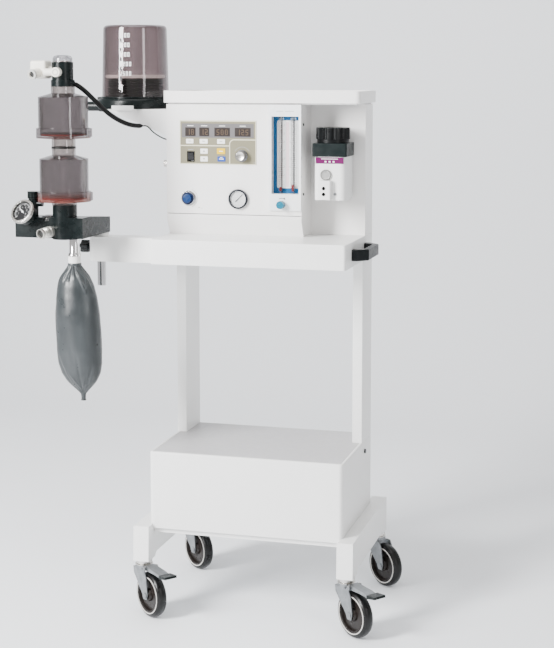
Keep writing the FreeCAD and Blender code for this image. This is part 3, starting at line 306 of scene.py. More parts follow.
def finished(name, mesh, materials, body, bevel=0.0, bevel_steps=2):
    """Links a mesh in the row frame as a piece on a CAD body."""
    obj = bpy.data.objects.new(name, mesh)
    bpy.context.scene.collection.objects.link(obj)
    for material in materials:
        mesh.materials.append(material)
    mesh.shade_smooth()
    mesh.set_sharp_from_angle(angle=SMOOTH_ANGLE)
    if bevel:
        rounding = obj.modifiers.new("rounding", "BEVEL")
        rounding.width = bevel * MM
        rounding.segments = bevel_steps
        rounding.limit_method = "ANGLE"
        rounding.angle_limit = SMOOTH_ANGLE
        rounding.harden_normals = True
    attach(obj, body)
    return obj


def mesh_piece(name, points, faces, material, body, bevel=0.0):
    mesh = bpy.data.meshes.new(name)
    mesh.from_pydata([tuple(p) for p in points], [], faces)
    work = bmesh.new()
    work.from_mesh(mesh)
    bmesh.ops.recalc_face_normals(work, faces=work.faces)
    work.to_mesh(mesh)
    work.free()
    return finished(name, mesh, [material], body, bevel)


def refined(node, materials, zone=None, bevel=0.7):
    """The CAD node's own shape with rounded edges, and a finish chosen face by face."""
    source = frame["nodes"][node]
    work = bmesh.new()
    work.from_mesh(source.data)
    bmesh.ops.remove_doubles(work, verts=work.verts, dist=1e-6)
    bmesh.ops.dissolve_limit(work, angle_limit=math.radians(0.4), verts=work.verts, edges=work.edges)
    mesh = bpy.data.meshes.new(node + "_skin")
    if zone:
        for face in work.faces:
            face.material_index = zone(local(face.calc_center_median()), face.normal)
    else:
        for face in work.faces:
            face.material_index = 0
    work.to_mesh(mesh)
    work.free()
    if "custom_normal" in mesh.attributes:
        mesh.attributes.remove(mesh.attributes["custom_normal"])
    obj = finished(node + "_skin", mesh, materials, BODY_OF[node], bevel)
    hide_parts(node)
    return obj


def lathe(name, profile, origin, axis, material, body, steps=72, bevel=0.0):
    """A closed ring of (radius, distance) points turned about an axis through a point."""
    basis = Vector(axis).normalized().to_track_quat("Z", "Y").to_matrix()
    start = at(*origin)
    points, faces = [], []
    count = len(profile)
    for step in range(steps):
        turn = 2 * math.pi * step / steps
        for radius, along in profile:
            offset = Vector((radius * math.cos(turn), radius * math.sin(turn), along)) * MM
            points.append(start + basis @ offset)
    for step in range(steps):
        after = (step + 1) % steps
        for k in range(count):
            following = (k + 1) % count
            faces.append((step * count + k, step * count + following,
                          after * count + following, after * count + k))
    mesh = bpy.data.meshes.new(name)
    mesh.from_pydata([tuple(p) for p in points], [], faces)
    work = bmesh.new()
    work.from_mesh(mesh)
    bmesh.ops.remove_doubles(work, verts=work.verts, dist=1e-7)
    bmesh.ops.dissolve_degenerate(work, edges=work.edges, dist=1e-7)
    bmesh.ops.recalc_face_normals(work, faces=work.faces)
    work.to_mesh(mesh)
    work.free()
    return finished(name, mesh, [material], body, bevel)


# Outlines are lists of (u, v) in millimetres, and a place turns u, v and a lift into a point.
def rect(u0, u1, v0, v1):
    return [(u0, v0), (u1, v0), (u1, v1), (u0, v1)]


def soft_rect(u0, u1, v0, v1, radius, steps=5):
    outline = []
    for cu, cv, start in ((u1 - radius, v0 + radius, -90), (u1 - radius, v1 - radius, 0),
                          (u0 + radius, v1 - radius, 90), (u0 + radius, v0 + radius, 180)):
        for step in range(steps + 1):
            turn = math.radians(start + 90 * step / steps)
            outline.append((cu + radius * math.cos(turn), cv + radius * math.sin(turn)))
    return outline


def spoke(u, v, inner, outer, degrees, width):
    """A tick that points away from a centre, clockwise degrees from straight up."""
    turn = math.radians(degrees)
    du, dv = math.sin(turn), math.cos(turn)
    half = width / 2
    return [(u + du * inner + dv * half, v + dv * inner - du * half),
            (u + du * inner - dv * half, v + dv * inner + du * half),
            (u + du * outer - dv * half, v + dv * outer + du * half),
            (u + du * outer + dv * half, v + dv * outer - du * half)]


def arc(u, v, inner, outer, first, last, steps):
    """Pieces of a ring between two clockwise angles."""
    pieces = []
    for step in range(steps):
        corners = []
        for radius, degrees in ((inner, first + (last - first) * step / steps),
                                (outer, first + (last - first) * step / steps),
                                (outer, first + (last - first) * (step + 1) / steps),
                                (inner, first + (last - first) * (step + 1) / steps)):
            turn = math.radians(degrees)
            corners.append((u + radius * math.sin(turn), v + radius * math.cos(turn)))
        pieces.append(corners)
    return pieces


STROKES = {"0": "abcdef", "1": "bc", "2": "abged", "3": "abgcd", "4": "fgbc", "5": "afgcd", "6": "afgedc",
           "7": "abc", "8": "abcdefg", "9": "abcdfg"}


def digits(text, u, v, height, weight):
    """Numbers in plain seven-stroke figures, from their lower left corner."""
    shapes = []
    wide = height * 0.5
    for index, figure in enumerate(text):
        left = u + index * (wide + height * 0.28)
        right, middle, top = left + wide, v + height / 2, v + height
        strokes = {"a": rect(left, right, top - weight, top), "d": rect(left, right, v, v + weight),
                   "g": rect(left, right, middle - weight / 2, middle + weight / 2),
                   "f": rect(left, left + weight, middle, top), "b": rect(right - weight, right, middle, top),
                   "e": rect(left, left + weight, v, middle), "c": rect(right - weight, right, v, middle)}
        shapes += [strokes[key] for key in STROKES.get(figure, "")]
    return shapes


def on_front(y):
    """The upright plane facing the user at a depth."""
    return lambda u, v, lift: at(u, y - lift, v)


def on_disc(origin, normal):
    """A tilted dial: u to its right, v up its face."""
    out = Vector(normal).normalized()
    right = Vector((0, 0, 1)).cross(out).normalized()
    up = out.cross(right)
    return lambda u, v, lift: at(*origin) + (right * u + up * v + out * lift) * MM


def raised(name, outlines, place, thickness, material, body, slot, bevel=0.0, sink=0.05):
    """Flat shapes standing a little proud of a surface: print, keys, windows and labels."""
    points, faces = [], []
    for outline in outlines:
        base, count = len(points), len(outline)
        points += [place(u, v, -sink) for u, v in outline]
        points += [place(u, v, thickness) for u, v in outline]
        faces.append(tuple(range(base, base + count)))
        faces.append(tuple(range(base + count, base + 2 * count)))
        for k in range(count):
            j = (k + 1) % count
            faces.append((base + k, base + j, base + count + j, base + count + k))
    return mesh_piece(name, points, faces, material, body, bevel)


# ------------------------------------------------------------ the curly sensor cord
COIL_ROUTE = [(-363, -220, 1179), (-352, -203.5, 1170), (-338, -172, 1145), (-318, -131, 1110),
              (-297, -91, 1089), (-281, -62, 1082), (-271, -44, 1082)]
TAIL_ROUTE = [(-271, -44, 1082), (-264.2, -31.8, 1082), (-256, -17, 1066), (-243, 10, 1052),
              (-236, 40, 1046), (-226, 60, 1045)]
CORD_WIRE = 3.2
COIL_OUTER = 11.0
COIL_PITCH = 3.6
POINTS_PER_TURN = 12


def spline_object(name, points, thickness=0.0):
    """A smooth curve with these control points."""
    curve = bpy.data.curves.new(name, "CURVE")
    curve.dimensions = "3D"
    curve.resolution_u = 6
    line = curve.splines.new("NURBS")
    line.points.add(len(points) - 1)
    for target, point in zip(line.points, points):
        target.co = (*point, 1)
    line.order_u = 3
    line.use_endpoint_u = True
    curve.bevel_depth = thickness / 2
    curve.bevel_resolution = 3
    curve.use_fill_caps = True
    obj = bpy.data.objects.new(name, curve)
    bpy.context.scene.collection.objects.link(obj)
    return obj


def as_mesh(obj, name):
    """The evaluated curve as a mesh, and the curve gone."""
    bpy.context.view_layer.update()
    mesh = bpy.data.meshes.new_from_object(obj.evaluated_get(bpy.context.evaluated_depsgraph_get()))
    mesh.name = name
    bpy.data.objects.remove(obj)
    return mesh


def line_of(points, name):
    """Points along the smooth line of a route."""
    mesh = as_mesh(spline_object(name, points), name)
    return [v.co.copy() for v in mesh.vertices]


def sensor_cord():
    route = line_of([at(*p) for p in COIL_ROUTE], "coil_line")
    lengths = [0.0]
    for a, b in zip(route, route[1:]):
        lengths.append(lengths[-1] + (b - a).length)
    radius = (COIL_OUTER - CORD_WIRE) / 2 * MM / 0.98
    ease = 10 * MM
    count = int(lengths[-1] / (COIL_PITCH * MM) * POINTS_PER_TURN)
    side = None
    helix = []
    for index in range(count + 1):
        far = lengths[-1] * index / count
        k = min(max(i for i, v in enumerate(lengths) if v <= far), len(route) - 2)
        share = (far - lengths[k]) / (lengths[k + 1] - lengths[k])
        centre = route[k].lerp(route[k + 1], share)
        along = (route[k + 1] - route[k]).normalized()
        side = (side or along.orthogonal())
        side = (side - along * side.dot(along)).normalized()
        other = along.cross(side)
        turn = 2 * math.pi * index / POINTS_PER_TURN
        open_by = min(1.0, far / ease, (lengths[-1] - far) / ease)
        reach = radius * (0.06 + 0.94 * math.sin(open_by * math.pi / 2))
        helix.append(centre + (side * math.cos(turn) + other * math.sin(turn)) * reach)
    tail = [at(*p) for p in TAIL_ROUTE[1:]]
    control = helix + tail
    line = line_of(control, "cord_line")
    mesh = as_mesh(spline_object("sensor_cord", control, CORD_WIRE * MM), "sensor_cord")
    obj = bpy.data.objects.new("sensor_cord", mesh)
    bpy.context.scene.collection.objects.link(obj)
    mesh.materials.clear()
    mesh.materials.append(cord_black)
    mesh.shade_smooth()
    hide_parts("cord_coil", "cord_tail")
    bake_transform(obj)


sensor_cord()


# ------------------------------------------------------------ chassis, posts, worktop, cabinet
for node in ("left_leg", "right_leg", "base_cover", "rear_covers", "left_post", "right_post", "worktop",
             "bellows_bracket", "arm_beam", "cross_rails"):
    refined(node, [white_paint], bevel=0.5 if node == "rear_covers" else 0.9)
refined("base_top_panel", [grey_panel], bevel=0.6)
for node in ("cabinet_shell", "top_shelf"):
    refined(node, [panel_paint], bevel=0.8)


def in_circle(c, x, z, radius):
    return math.hypot(c[0] - x, c[2] - z) < radius


FLUSH = (-168.0, 920.0)
GAUGE = (-51.0, 920.5)
SELECTOR = (-42.0, 1017.0)
refined("front_panel", [panel_paint, chrome],
        zone=lambda c, n: 1 if in_circle(c, *FLUSH, 17.5) and (c[1] < -28.01 or c[1] > -25.9) else 0,
        bevel=0.5)
refined("side_handle", [handle_black], bevel=1.0)
refined("fasteners", [zinc, moulded_black, satin_steel],
        zone=lambda c, n: 0 if c[2] < 200 else (2 if abs(c[2] - 996) < 9 and c[0] < -219 else 1), bevel=0.3)
frame["nodes"]["internal_modules"].data.materials.clear()
frame["nodes"]["internal_modules"].data.materials.append(module_steel)

# ------------------------------------------------------------ control panel
FILM_FRONT = -29.2
film_face = on_front(FILM_FRONT)
refined("control_overlay", [film], bevel=0.3)
raised("overlay_border", [rect(-188, -9.5, 1092.6, 1095), rect(-188, -9.5, 997, 998.6),
                          rect(-188, -186.4, 998.6, 1092.6),
                          rect(-11.1, -9.5, 998.6, 1092.6)], film_face, 0.12, film_cream, "root",
                          "keypad_film")
corner = arc(-60.8, 1042.2, 9.2, 11.2, -90, 0, 8)
raised("overlay_dividers", [rect(-186.4, -71.8, 1037.4, 1039.6), rect(-72, -70, 998.6, 1042.2),
                            rect(-60.8, -11.1, 1051.4, 1053.4)] + corner,
       film_face, 0.14, film_cream, "root", "keypad_film")
raised("display_strip", [soft_rect(-183, -15, 1056.5, 1088, 1.5)], film_face, 0.15, film_lilac, "root",
       "keypad_film")
WINDOWS = ((-175, -150.5, "18"), (-142, -118.5, "12"), (-106.5, -70, "500"), (-59, -22, "125"))
raised("display_windows", [soft_rect(u0, u1, 1059.5, 1079, 0.8) for u0, u1, _ in WINDOWS], film_face, 0.5,
       window_dark, "root", "keypad_film", bevel=0.25)
figures = []
for u0, u1, text in WINDOWS:
    wide = 12.5 * (0.5 * len(text) + 0.28 * (len(text) - 1))
    figures += digits(text, (u0 + u1 - wide) / 2, 1062.6, 12.5, 1.7)
raised("display_figures", figures, on_front(FILM_FRONT - 0.5), 0.08, digit_amber, "root", "keypad_film")
captions = [rect((u0 + u1) / 2 - 7, (u0 + u1) / 2 + 7, 1082.3, 1083.6) for u0, u1, _ in WINDOWS]
raised("display_captions", captions, on_front(FILM_FRONT - 0.15), 0.08, ink_white, "root", "keypad_film")
KEYS = (("key_white", key_white, ((-173, -155.5, 1043, 1053.5), (-141, -122, 1043, 1053.5),
                                  (-100, -81.5, 1043, 1053.5), (-139.6, -122, 1020.5, 1032),
                                  (-139.6, -122, 1003, 1014.5))),
        ("key_yellow", key_yellow, ((-100.6, -81.3, 1020, 1033),)),
        ("key_blue", key_blue, ((-99.4, -80.6, 1003.5, 1015),)))
for key_name, finish, places in KEYS:
    raised(key_name + "_caps", [soft_rect(*place, 1.6) for place in places], film_face, 0.9, finish, "root",
           "keypad_film", bevel=0.45)
key_marks = [rect(u - 3.4, u + 3.4, 1047.6, 1049.2) for u in (-164.2, -131.5, -90.8)]
key_marks += [[(-133.6, 1024.2), (-128, 1024.2), (-130.8, 1028.8)],
              [(-133.6, 1010.9), (-130.8, 1006.3), (-128, 1010.9)]]
raised("key_marks", key_marks, on_front(FILM_FRONT - 0.9), 0.1, ink_grey, "root", "keypad_film")
raised("key_marks_pale", [rect(-95.5, -84.6, 1008.3, 1010), rect(-93, -87.4, 1012, 1013),
                          rect(-95.5, -86.5, 1025.7, 1027.3)],
       on_front(FILM_FRONT - 0.9), 0.1, ink_white, "root", "keypad_film")
raised("film_marks", [rect(-168, -156, 1029, 1030.3), rect(-15, -12.6, 1000.6, 1002.4)]
       + arc(*SELECTOR, 19, 19.9, -58, 58, 16), film_face, 0.1, ink_grey, "root", "keypad_film")
raised("switch_surround", [rect(-170.8, -169.2, 1002.2, 1025.8), rect(-154.8, -153.2, 1002.2, 1025.8),
                           rect(-169.2, -154.8, 1002.2, 1003.8), rect(-169.2, -154.8, 1024.2, 1025.8)],
       film_face, 1.3, switch_black, "root", "keypad_film", bevel=0.4)
refined("rocker_switch", [switch_black], bevel=0.6)
knob_metal = surface("knob_metal", (0.44, 0.44, 0.45), 0.20, metal=1.0, bump=0.03, mottle=0.10, patch=70)
refined("selector_knob", [knob_metal], bevel=0.35)
lathe("selector_cap", [(0, 0), (8.6, 0), (9.4, -0.4), (9.4, 0.6), (0, 0.6)],
      (SELECTOR[0], FILM_FRONT - 16.4, SELECTOR[1]),
      (0, 1, 0), satin_steel, "selector_knob_body", bevel=0.2)
refined("flush_button", [flush_blue], bevel=0.5)
navy = surface("flush_ring", (0.004, 0.012, 0.045), 0.28, bump=0.03, shine=0.3)
lathe("flush_ring", [(10.3, 0), (13.6, 0), (14.0, 0.5), (14.0, 2.4), (10.3, 2.4)],
      (FLUSH[0], -36.2, FLUSH[1]),
      (0, 1, 0), navy, "root", bevel=0.2)
raised("flush_print", arc(*FLUSH, 20.5, 21.3, 20, 160, 18) + [rect(-146, -141, 899, 900.2),
                                                              rect(-138, -136, 897, 898.2)],
       on_front(-28), 0.1, ink_grey, "root", "panel_paint")

# ------------------------------------------------------------ supply gauge
refined("panel_gauge", [bezel_black, dial_white],
        zone=lambda c, n: 1 if n[1] < -0.9 and in_circle(c, *GAUGE, 18.4) and c[1] > -34 else 0, bevel=0.4)
gauge_face = on_front(-30.0)
ticks = [spoke(*GAUGE, 13.6 if k % 5 else 12.2, 16.2, -135 + 270 * k / 30, 0.35 if k % 5 else 0.7)
         for k in range(31)]
raised("gauge_ticks", ticks, gauge_face, 0.1, ink_dark, "root", "gauge_bezel")
raised("gauge_print", digits("2", GAUGE[0] - 10.5, GAUGE[1] + 1.5, 3.2, 0.45) + digits("4", GAUGE[0] - 6,
      GAUGE[1] + 8, 3.2, 0.45)
       + digits("6", GAUGE[0] + 4.4, GAUGE[1] + 8, 3.2, 0.45) + digits("8", GAUGE[0] + 8.6, GAUGE[1] + 1.5,
             3.2, 0.45),
       gauge_face, 0.1, ink_grey, "root", "gauge_bezel")
supply_needle = raised("supply_needle", [spoke(*GAUGE, -9, 0, 45, 1.7), spoke(*GAUGE, 0, 14.5, 45, 1.1)],
                       on_front(-31.6), 0.5, needle_paint, "gauge_needle_body", "needle_paint")
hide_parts("gauge_needle")
lathe("gauge_lens", [(0, 0), (18.3, 0), (18.3, 0.8), (0, 0.8)], (GAUGE[0], -35.4, GAUGE[1]), (0, 1, 0),
      cover_glass, "root")
raised("gauge_note", [rect(-19, -14.5, 898.5, 899.6)], on_front(-28), 0.1, ink_pink, "root", "panel_paint")

# ------------------------------------------------------------ flowmeter
refined("flowmeter_frame", [surface("flow_bezel", (0.82, 0.83, 0.84), 0.30, bump=0.05, mottle=0.012,
                                    coat=0.3)],
        bevel=0.8)
refined("flow_tubes", [tube_glass, cover_glass], zone=lambda c, n: 1 if c[1] < -30.5 else 0, bevel=0.0)
refined("flow_floats", [float_red], bevel=0.2)
refined("flow_knob", [knob_blue], bevel=0.5)
tray_face = on_front(-17.0)
raised("scale_plate", [rect(27.3, 88.7, 934.3, 1104.7)], tray_face, 0.2, scale_blue, "root", "flow_bezel")
raised("scale_field", [soft_rect(35.5, 88.6, 946, 1096, 4)], on_front(-17.2), 0.12, ink_white, "root",
       "flow_bezel")
raised("scale_band", [rect(56, 63, 949, 1092)], on_front(-17.32), 0.06, ink_pink, "root", "flow_bezel")
raised("scale_lines", [rect(80.2, 80.8, 949, 1088), rect(84.4, 85.0, 949, 1088)], on_front(-17.32), 0.06,
       ink_grey, "root", "flow_bezel")
left_ticks, right_ticks, numbers = [], [], []
for k in range(29):
    v = 955 + 4.6 * k
    long = k % 4 == 0
    left_ticks.append(rect(45.3 - (7.5 if long else 5.2), 45.3 + (6.5 if long else 4.5), v - 0.35, v + 0.35))
    right_ticks.append(rect(73.3 - (7.5 if long else 5.2), 73.3 + (6.5 if long else 4.5), v - 0.35, v + 0.35))
    if long and k:
        numbers += digits(str(k // 4), 51.6, v + 0.9, 2.6, 0.4) + digits(str(k // 4), 64.2, v + 0.9, 2.6, 0.4)
raised("scale_ticks_left", left_ticks, on_front(-17.32), 0.08, ink_red, "root", "flow_bezel")
raised("scale_ticks_right", right_ticks, on_front(-17.32), 0.08, ink_grey, "root", "flow_bezel")
raised("scale_numbers", numbers, on_front(-17.4), 0.08, ink_grey, "root", "flow_bezel")
raised("scale_heads", [soft_rect(40, 51, 1097.5, 1102.5, 2), soft_rect(66, 79, 1097.5, 1102.5, 2)],
       on_front(-17.2), 0.15, surface("scale_pale", (0.45, 0.60, 0.78), 0.4, bump=0.02), "root", "flow_bezel")
raised("flow_print", arc(50, 910.5, 13.6, 15.0, -22, 34, 10) + [[(55, 923.9), (59.6, 922.2), (56.4, 926.6)]],
       on_front(-34), 0.12, ink_dark, "root", "flow_bezel")
raised("flow_heading", [rect(38, 54, 1116, 1117), rect(58, 78, 1116, 1117)], on_front(-34), 0.08, ink_grey,
       "root", "flow_bezel")

# ------------------------------------------------------------ vaporizer
refined("vaporizer_head", [vapor_slate], bevel=1.2)
refined("vaporizer_dial", [dial_black], bevel=0.8)
# The walls of two small holes in the vaporizer body's front take painted shade.
refined("vaporizer_body", [surface("vapor_white", (0.80, 0.80, 0.79), 0.36, bump=0.08, mottle=0.012), zinc,
                           hole_painted_shade],
        zone=lambda c, n: 1 if in_circle(c, 170.5, 936, 3.2) and c[1] < -30.1 else
        (2 if c[1] > -44 and c[1] < -34.5 and (in_circle(c, 148, 949, 4.3) or in_circle(c, 148, 936,
              4.3)) else 0),
        bevel=0.6)
raised("vapor_label", [rect(126.5, 189.5, 1002.6, 1016.6)], on_front(-30), 0.25, label_purple, "root",
       "vapor_white")
raised("vapor_label_print", [rect(139, 177, 1012.4, 1013.6), rect(147, 151, 1005.4, 1008.6),
                             rect(156, 160, 1005.4, 1008.6), rect(165, 169, 1005.4, 1008.6)],
       on_front(-30.25), 0.08, ink_white, "root", "vapor_white")
grey_rim = surface("sight_rim", (0.22, 0.22, 0.21), 0.32, metal=0.3, bump=0.06, mottle=0.10)
lathe("sight_glass_rim", [(8.7, 0), (12.1, 0.0), (12.1, 4), (8.7, 4)], (150, -34.6, 978), (0, 1, 0), grey_rim,
      "root", bevel=0.8)
lathe("sight_glass", [(0, 0), (8.6, 0), (8.6, 1), (0, 1)], (150, -33.2, 978), (0, 1, 0),
      surface("sight_glass", (0.30, 0.30, 0.29), 0.12, bump=0.02, mottle=0.2, patch=90, coat=0.8), "root")
raised("sight_marks", [rect(145, 155, 980.4, 981.2), rect(145, 155, 977.6, 978.4),
                       rect(145, 155, 974.8, 975.6)],
       on_front(-33.2), 0.1, ink_grey, "root", "vapor_white")

# ------------------------------------------------------------ bellows
refined("bellows_base", [moulded_black], bevel=0.8)
BELLOWS = (-323.0, 51.0)


def bellows_folds():
    """Thin rubber folds from the base to the disc, squashed and stretched with it."""
    low, high = 1146.0, 1188.5
    folds = 8
    profile = []
    steps = folds * 8
    for k in range(steps + 1):
        wave = 0.5 - 0.5 * math.cos(2 * math.pi * k * folds / steps)
        profile.append((60.5 + 6 * wave ** 0.8, low + (high - low) * k / steps))
    inner = [(r - 2.2, z) for r, z in reversed(profile)]
    ring = [(r, z - low) for r, z in profile + inner]
    obj = lathe("bellows_folds", ring, (*BELLOWS, low), (0, 0, 1), pleat_rubber, "root")
    obj.parent = None
    obj.matrix_world = Matrix.Identity(4)
    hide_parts("bellows_pleats")
    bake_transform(obj)


bellows_folds()
DOME_FOOT, DOME_CROWN = 1142.0, 1309.0
crown = [(64 + 9 * math.sin(math.radians(t)), 1300 + 9 * math.cos(math.radians(t))) for t in range(0, 91, 15)]
inside_crown = [(64 + 5.5 * math.sin(math.radians(t)), 1300 + 5.5 * math.cos(math.radians(t)))
                for t in range(90, -1, -15)]
dome_profile = [(0, DOME_CROWN)] + crown + [(77, DOME_FOOT), (72.5, DOME_FOOT)] + inside_crown + [(0, 1305.5)]
dome = lathe("dome_shell", [(r, z - DOME_FOOT) for r, z in dome_profile], (*BELLOWS, DOME_FOOT), (0, 0, 1),
             dome_smoke, "root", steps=96)
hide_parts("bellows_dome")
disc = lathe("riding_disc", [(0, 0), (67.3, 0), (68.5, 1.2), (68.5, 6.3), (67.3, 7.5), (0, 7.5)],
             (*BELLOWS, 1188.5), (0, 0, 1), ivory_painted_glow, "bellows_disc_body", steps=96)
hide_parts("bellows_disc")


def on_dome(u, v, lift):
    """The dome's outside, which widens a little towards its foot."""
    radius = 73 + (1300 - v) * 4 / 158
    turn = u / radius
    return at(BELLOWS[0] + (radius + lift) * math.sin(turn), BELLOWS[1] - (radius + lift) * math.cos(turn), v)


SCALE_TOP, SCALE_STEP, FIGURE = 1285.0, 21.5, 9.5
scale_figures, scale_bars = [], []
for k in range(5):
    text = str(300 * (k + 1))
    v = SCALE_TOP - SCALE_STEP * k
    wide = FIGURE * (0.5 * len(text) + 0.28 * (len(text) - 1))
    scale_figures += digits(text, 4 - wide / 2, v - FIGURE / 2, FIGURE, 1.5)
    scale_bars.append(rect(-9.5, -4.5, v - 15.0, v - 6.5))
raised("dome_figures", scale_figures, on_dome, 0.15, ink_white, "root", "smoky_clear")
raised("dome_bars", scale_bars, on_dome, 0.15, ink_dark, "root", "smoky_clear")
lathe("dome_foot_ring", [(77.6, 0), (80.5, 0), (80.5, 3.5), (77.6, 3.5)], (*BELLOWS, 1142.8), (0, 0, 1),
      moulded_black, "root", bevel=0.6)

# ------------------------------------------------------------ arm
refined("clamp_knob", [moulded_black], bevel=0.8)
refined("arm_post", [chrome], bevel=0.6)

# ------------------------------------------------------------ absorber
CANISTER = (-387.0, -220.0)
refined("absorber_block", [moulded_black], bevel=1.0)
refined("apl_knob", [moulded_black], bevel=0.6)
for node, floor, top in (("lower_canister", 921.0, 1038.0), ("upper_canister", 1058.0, 1171.0)):
    def canister_zone(c, n, floor=floor, top=top):
        if c[2] < floor + 10:
            return 1
        return 2 if c[2] > top - 21 else 0
    refined(node, [smoky, flange_pink, smoky_neck], zone=canister_zone, bevel=0.0)
    lathe(node + "_grille", [(12, 0), (47.5, 0), (47.5, 1.6), (12, 1.6)], (*CANISTER, floor + 12.4),
          (0, 0, 1),
          flange_pink, "absorber")
refined("canister_seals", [seal_pink, seal_black, smoky_neck],
        zone=lambda c, n: (1 if 1037.5 < c[2] < 1042.5 else
                           2 if 1042.5 < c[2] < 1058.5 or c[2] < 921.5 else 0),
        bevel=0.0)
refined("valve_head", [moulded_black], bevel=0.6)
refined("valve_caps", [clear_cap], bevel=0.0)
lathe("head_valve_ring", [(15.5, 0), (18, 0), (18, 2), (15.5, 2)], (*CANISTER, 1223.6), (0, 0, 1),
      satin_steel,
      "absorber", bevel=0.3)
lathe("head_valve_disc", [(0, 0), (13, 0), (13, 1.2), (0, 1.2)], (*CANISTER, 1225.0), (0, 0, 1), seal_pink,
      "absorber", bevel=0.3)
refined("sensor_block", [sensor_white], bevel=0.6)
PORT_AXIS = Vector((-0.25, -0.95, -0.18)).normalized()
sensor_tip = Vector((-436, -236, 1201)) + PORT_AXIS * 24
lathe("sensor_port_rim", [(6.6, -0.2), (11.3, -0.2), (11.3, 4), (10.6, 4), (10.6, 1.0), (6.6, 1.0)],
      tuple(sensor_tip),
      tuple(-PORT_AXIS), surface("rim_grey", (0.40, 0.40, 0.38), 0.34, bump=0.05), "absorber",
      bevel=0.3)
# A dark disc a little inside the sensor port's mouth: painted shade for its bore.
lathe("sensor_port_painted_shade", [(0, 0), (6.4, 0), (6.4, 1), (0, 1)], tuple(sensor_tip - PORT_AXIS * 4),
      tuple(-PORT_AXIS), hole_painted_shade, "absorber")
lathe("knuckle_step", [(4.5, 0), (7.2, 0), (7.2, 1.4), (4.5, 1.4)], (-389, -255.6, 1202), (0, 1, 0),
      surface("knuckle_shade", (0.45, 0.44, 0.41), 0.4, bump=0.05), "absorber", bevel=0.4)

# ------------------------------------------------------------ airway gauge
DIAL_AT = Vector((-465.0, -272.0, 906.0))
DIAL_OUT = Vector((-0.22, -0.83, 0.51)).normalized()


def on_bezel(c):
    """Depth behind the dial's front and distance from its axis."""
    offset = Vector(c) - DIAL_AT
    depth = -offset.dot(DIAL_OUT)
    return depth, (offset + DIAL_OUT * depth).length


def airway_zone(c, n):
    depth, radius = on_bezel(c)
    if radius < 23.2 and depth > 4 and n.dot(DIAL_OUT) > 0.8:
        return 1
    return 0 if depth < 9.3 and radius < 28 else 2


refined("airway_gauge", [satin_steel, dial_dark, moulded_black], zone=airway_zone, bevel=0.5)
dial_place = on_disc(tuple(DIAL_AT - DIAL_OUT * 5.0), DIAL_OUT)
raised("airway_ticks", [spoke(0, 0, 17.0 if k % 5 else 14.5, 20, -135 + 270 * k / 30, 0.5 if k % 5 else 1.0)
                        for k in range(31)], dial_place, 0.1, ink_white, "absorber", "bezel_steel")
dial_numbers = []
for k, text in enumerate(("1", "2", "3", "4", "5", "6")):
    turn = math.radians(-115 + 46 * k)
    dial_numbers += digits(text, 11 * math.sin(turn) - 0.8, 11 * math.cos(turn) - 1.5, 3.0, 0.4)
raised("airway_numbers", dial_numbers, dial_place, 0.1, ink_white, "absorber", "bezel_steel")
refined("airway_needle", [needle_white], bevel=0.1)
lathe("airway_lens", [(0, 0), (22.8, 0), (22.8, 0.8), (0, 0.8)], tuple(DIAL_AT - DIAL_OUT * 1.2),
      tuple(-DIAL_OUT), cover_glass, "absorber")
ridges = []
for k in range(48):
    turn = 360 * k / 48
    ridges.append(spoke(0, 0, 27.0, 27.9, turn, 1.7))
raised("airway_ridges", ridges, on_disc(tuple(DIAL_AT - DIAL_OUT * 7.5), DIAL_OUT), 6.0, satin_steel,
       "absorber",
       "bezel_steel", bevel=0.3)
port_metal = surface("port_metal", (0.66, 0.65, 0.61), 0.33, metal=0.85, grain=500, bump=0.08, mottle=0.06)
refined("metal_ports", [port_metal, chrome], zone=lambda c, n: 1 if c[2] < 842 else 0, bevel=0.4)
HOSE_AXIS = Vector((-0.36, -0.93, -0.1)).normalized()
hose_start = Vector((-411, -238, 859))
for index, far in enumerate((19.0, 24.0)):
    lathe("hose_port_bead_%d" % index, [(11.0, 0), (11.9, 0.6), (11.9, 1.6), (11.0, 2.2)],
          tuple(hose_start + HOSE_AXIS * far), tuple(HOSE_AXIS), port_metal, "absorber")
# A dark disc a little inside the hose port: painted shade for its bore.
lathe("hose_port_painted_shade", [(0, 0), (9.0, 0), (9.0, 1), (0, 1)], tuple(hose_start + HOSE_AXIS * 27),
      tuple(HOSE_AXIS), hole_painted_shade, "absorber")

# ------------------------------------------------------------ breathing bag
BAG = (-365.5, -220.0)
# height, half width, half depth and how far the middle hangs to the right
BAG_SHAPE = ((789.0, 13.2, 13.2, 0.0), (784.0, 13.8, 13.6, 0.0), (776.0, 20.5, 18.5, 0.4),
             (762.0, 32.0, 26.5, 1.0), (742.0, 40.5, 33.0, 2.0), (715.0, 46.0, 37.5, 3.4),
             (680.0, 49.6, 41.0, 5.2), (640.0, 50.8, 42.5, 7.2), (600.0, 50.8, 42.5, 9.0),
             (570.0, 48.6, 40.0, 10.8), (548.0, 43.5, 34.5, 12.2), (530.0, 33.5, 25.5, 13.8),
             (516.0, 20.0, 15.5, 15.4), (507.0, 9.5, 8.5, 16.4), (502.0, 5.6, 5.4, 16.9),
             (494.0, 5.0, 5.0, 17.0), (487.0, 4.9, 4.9, 17.0))
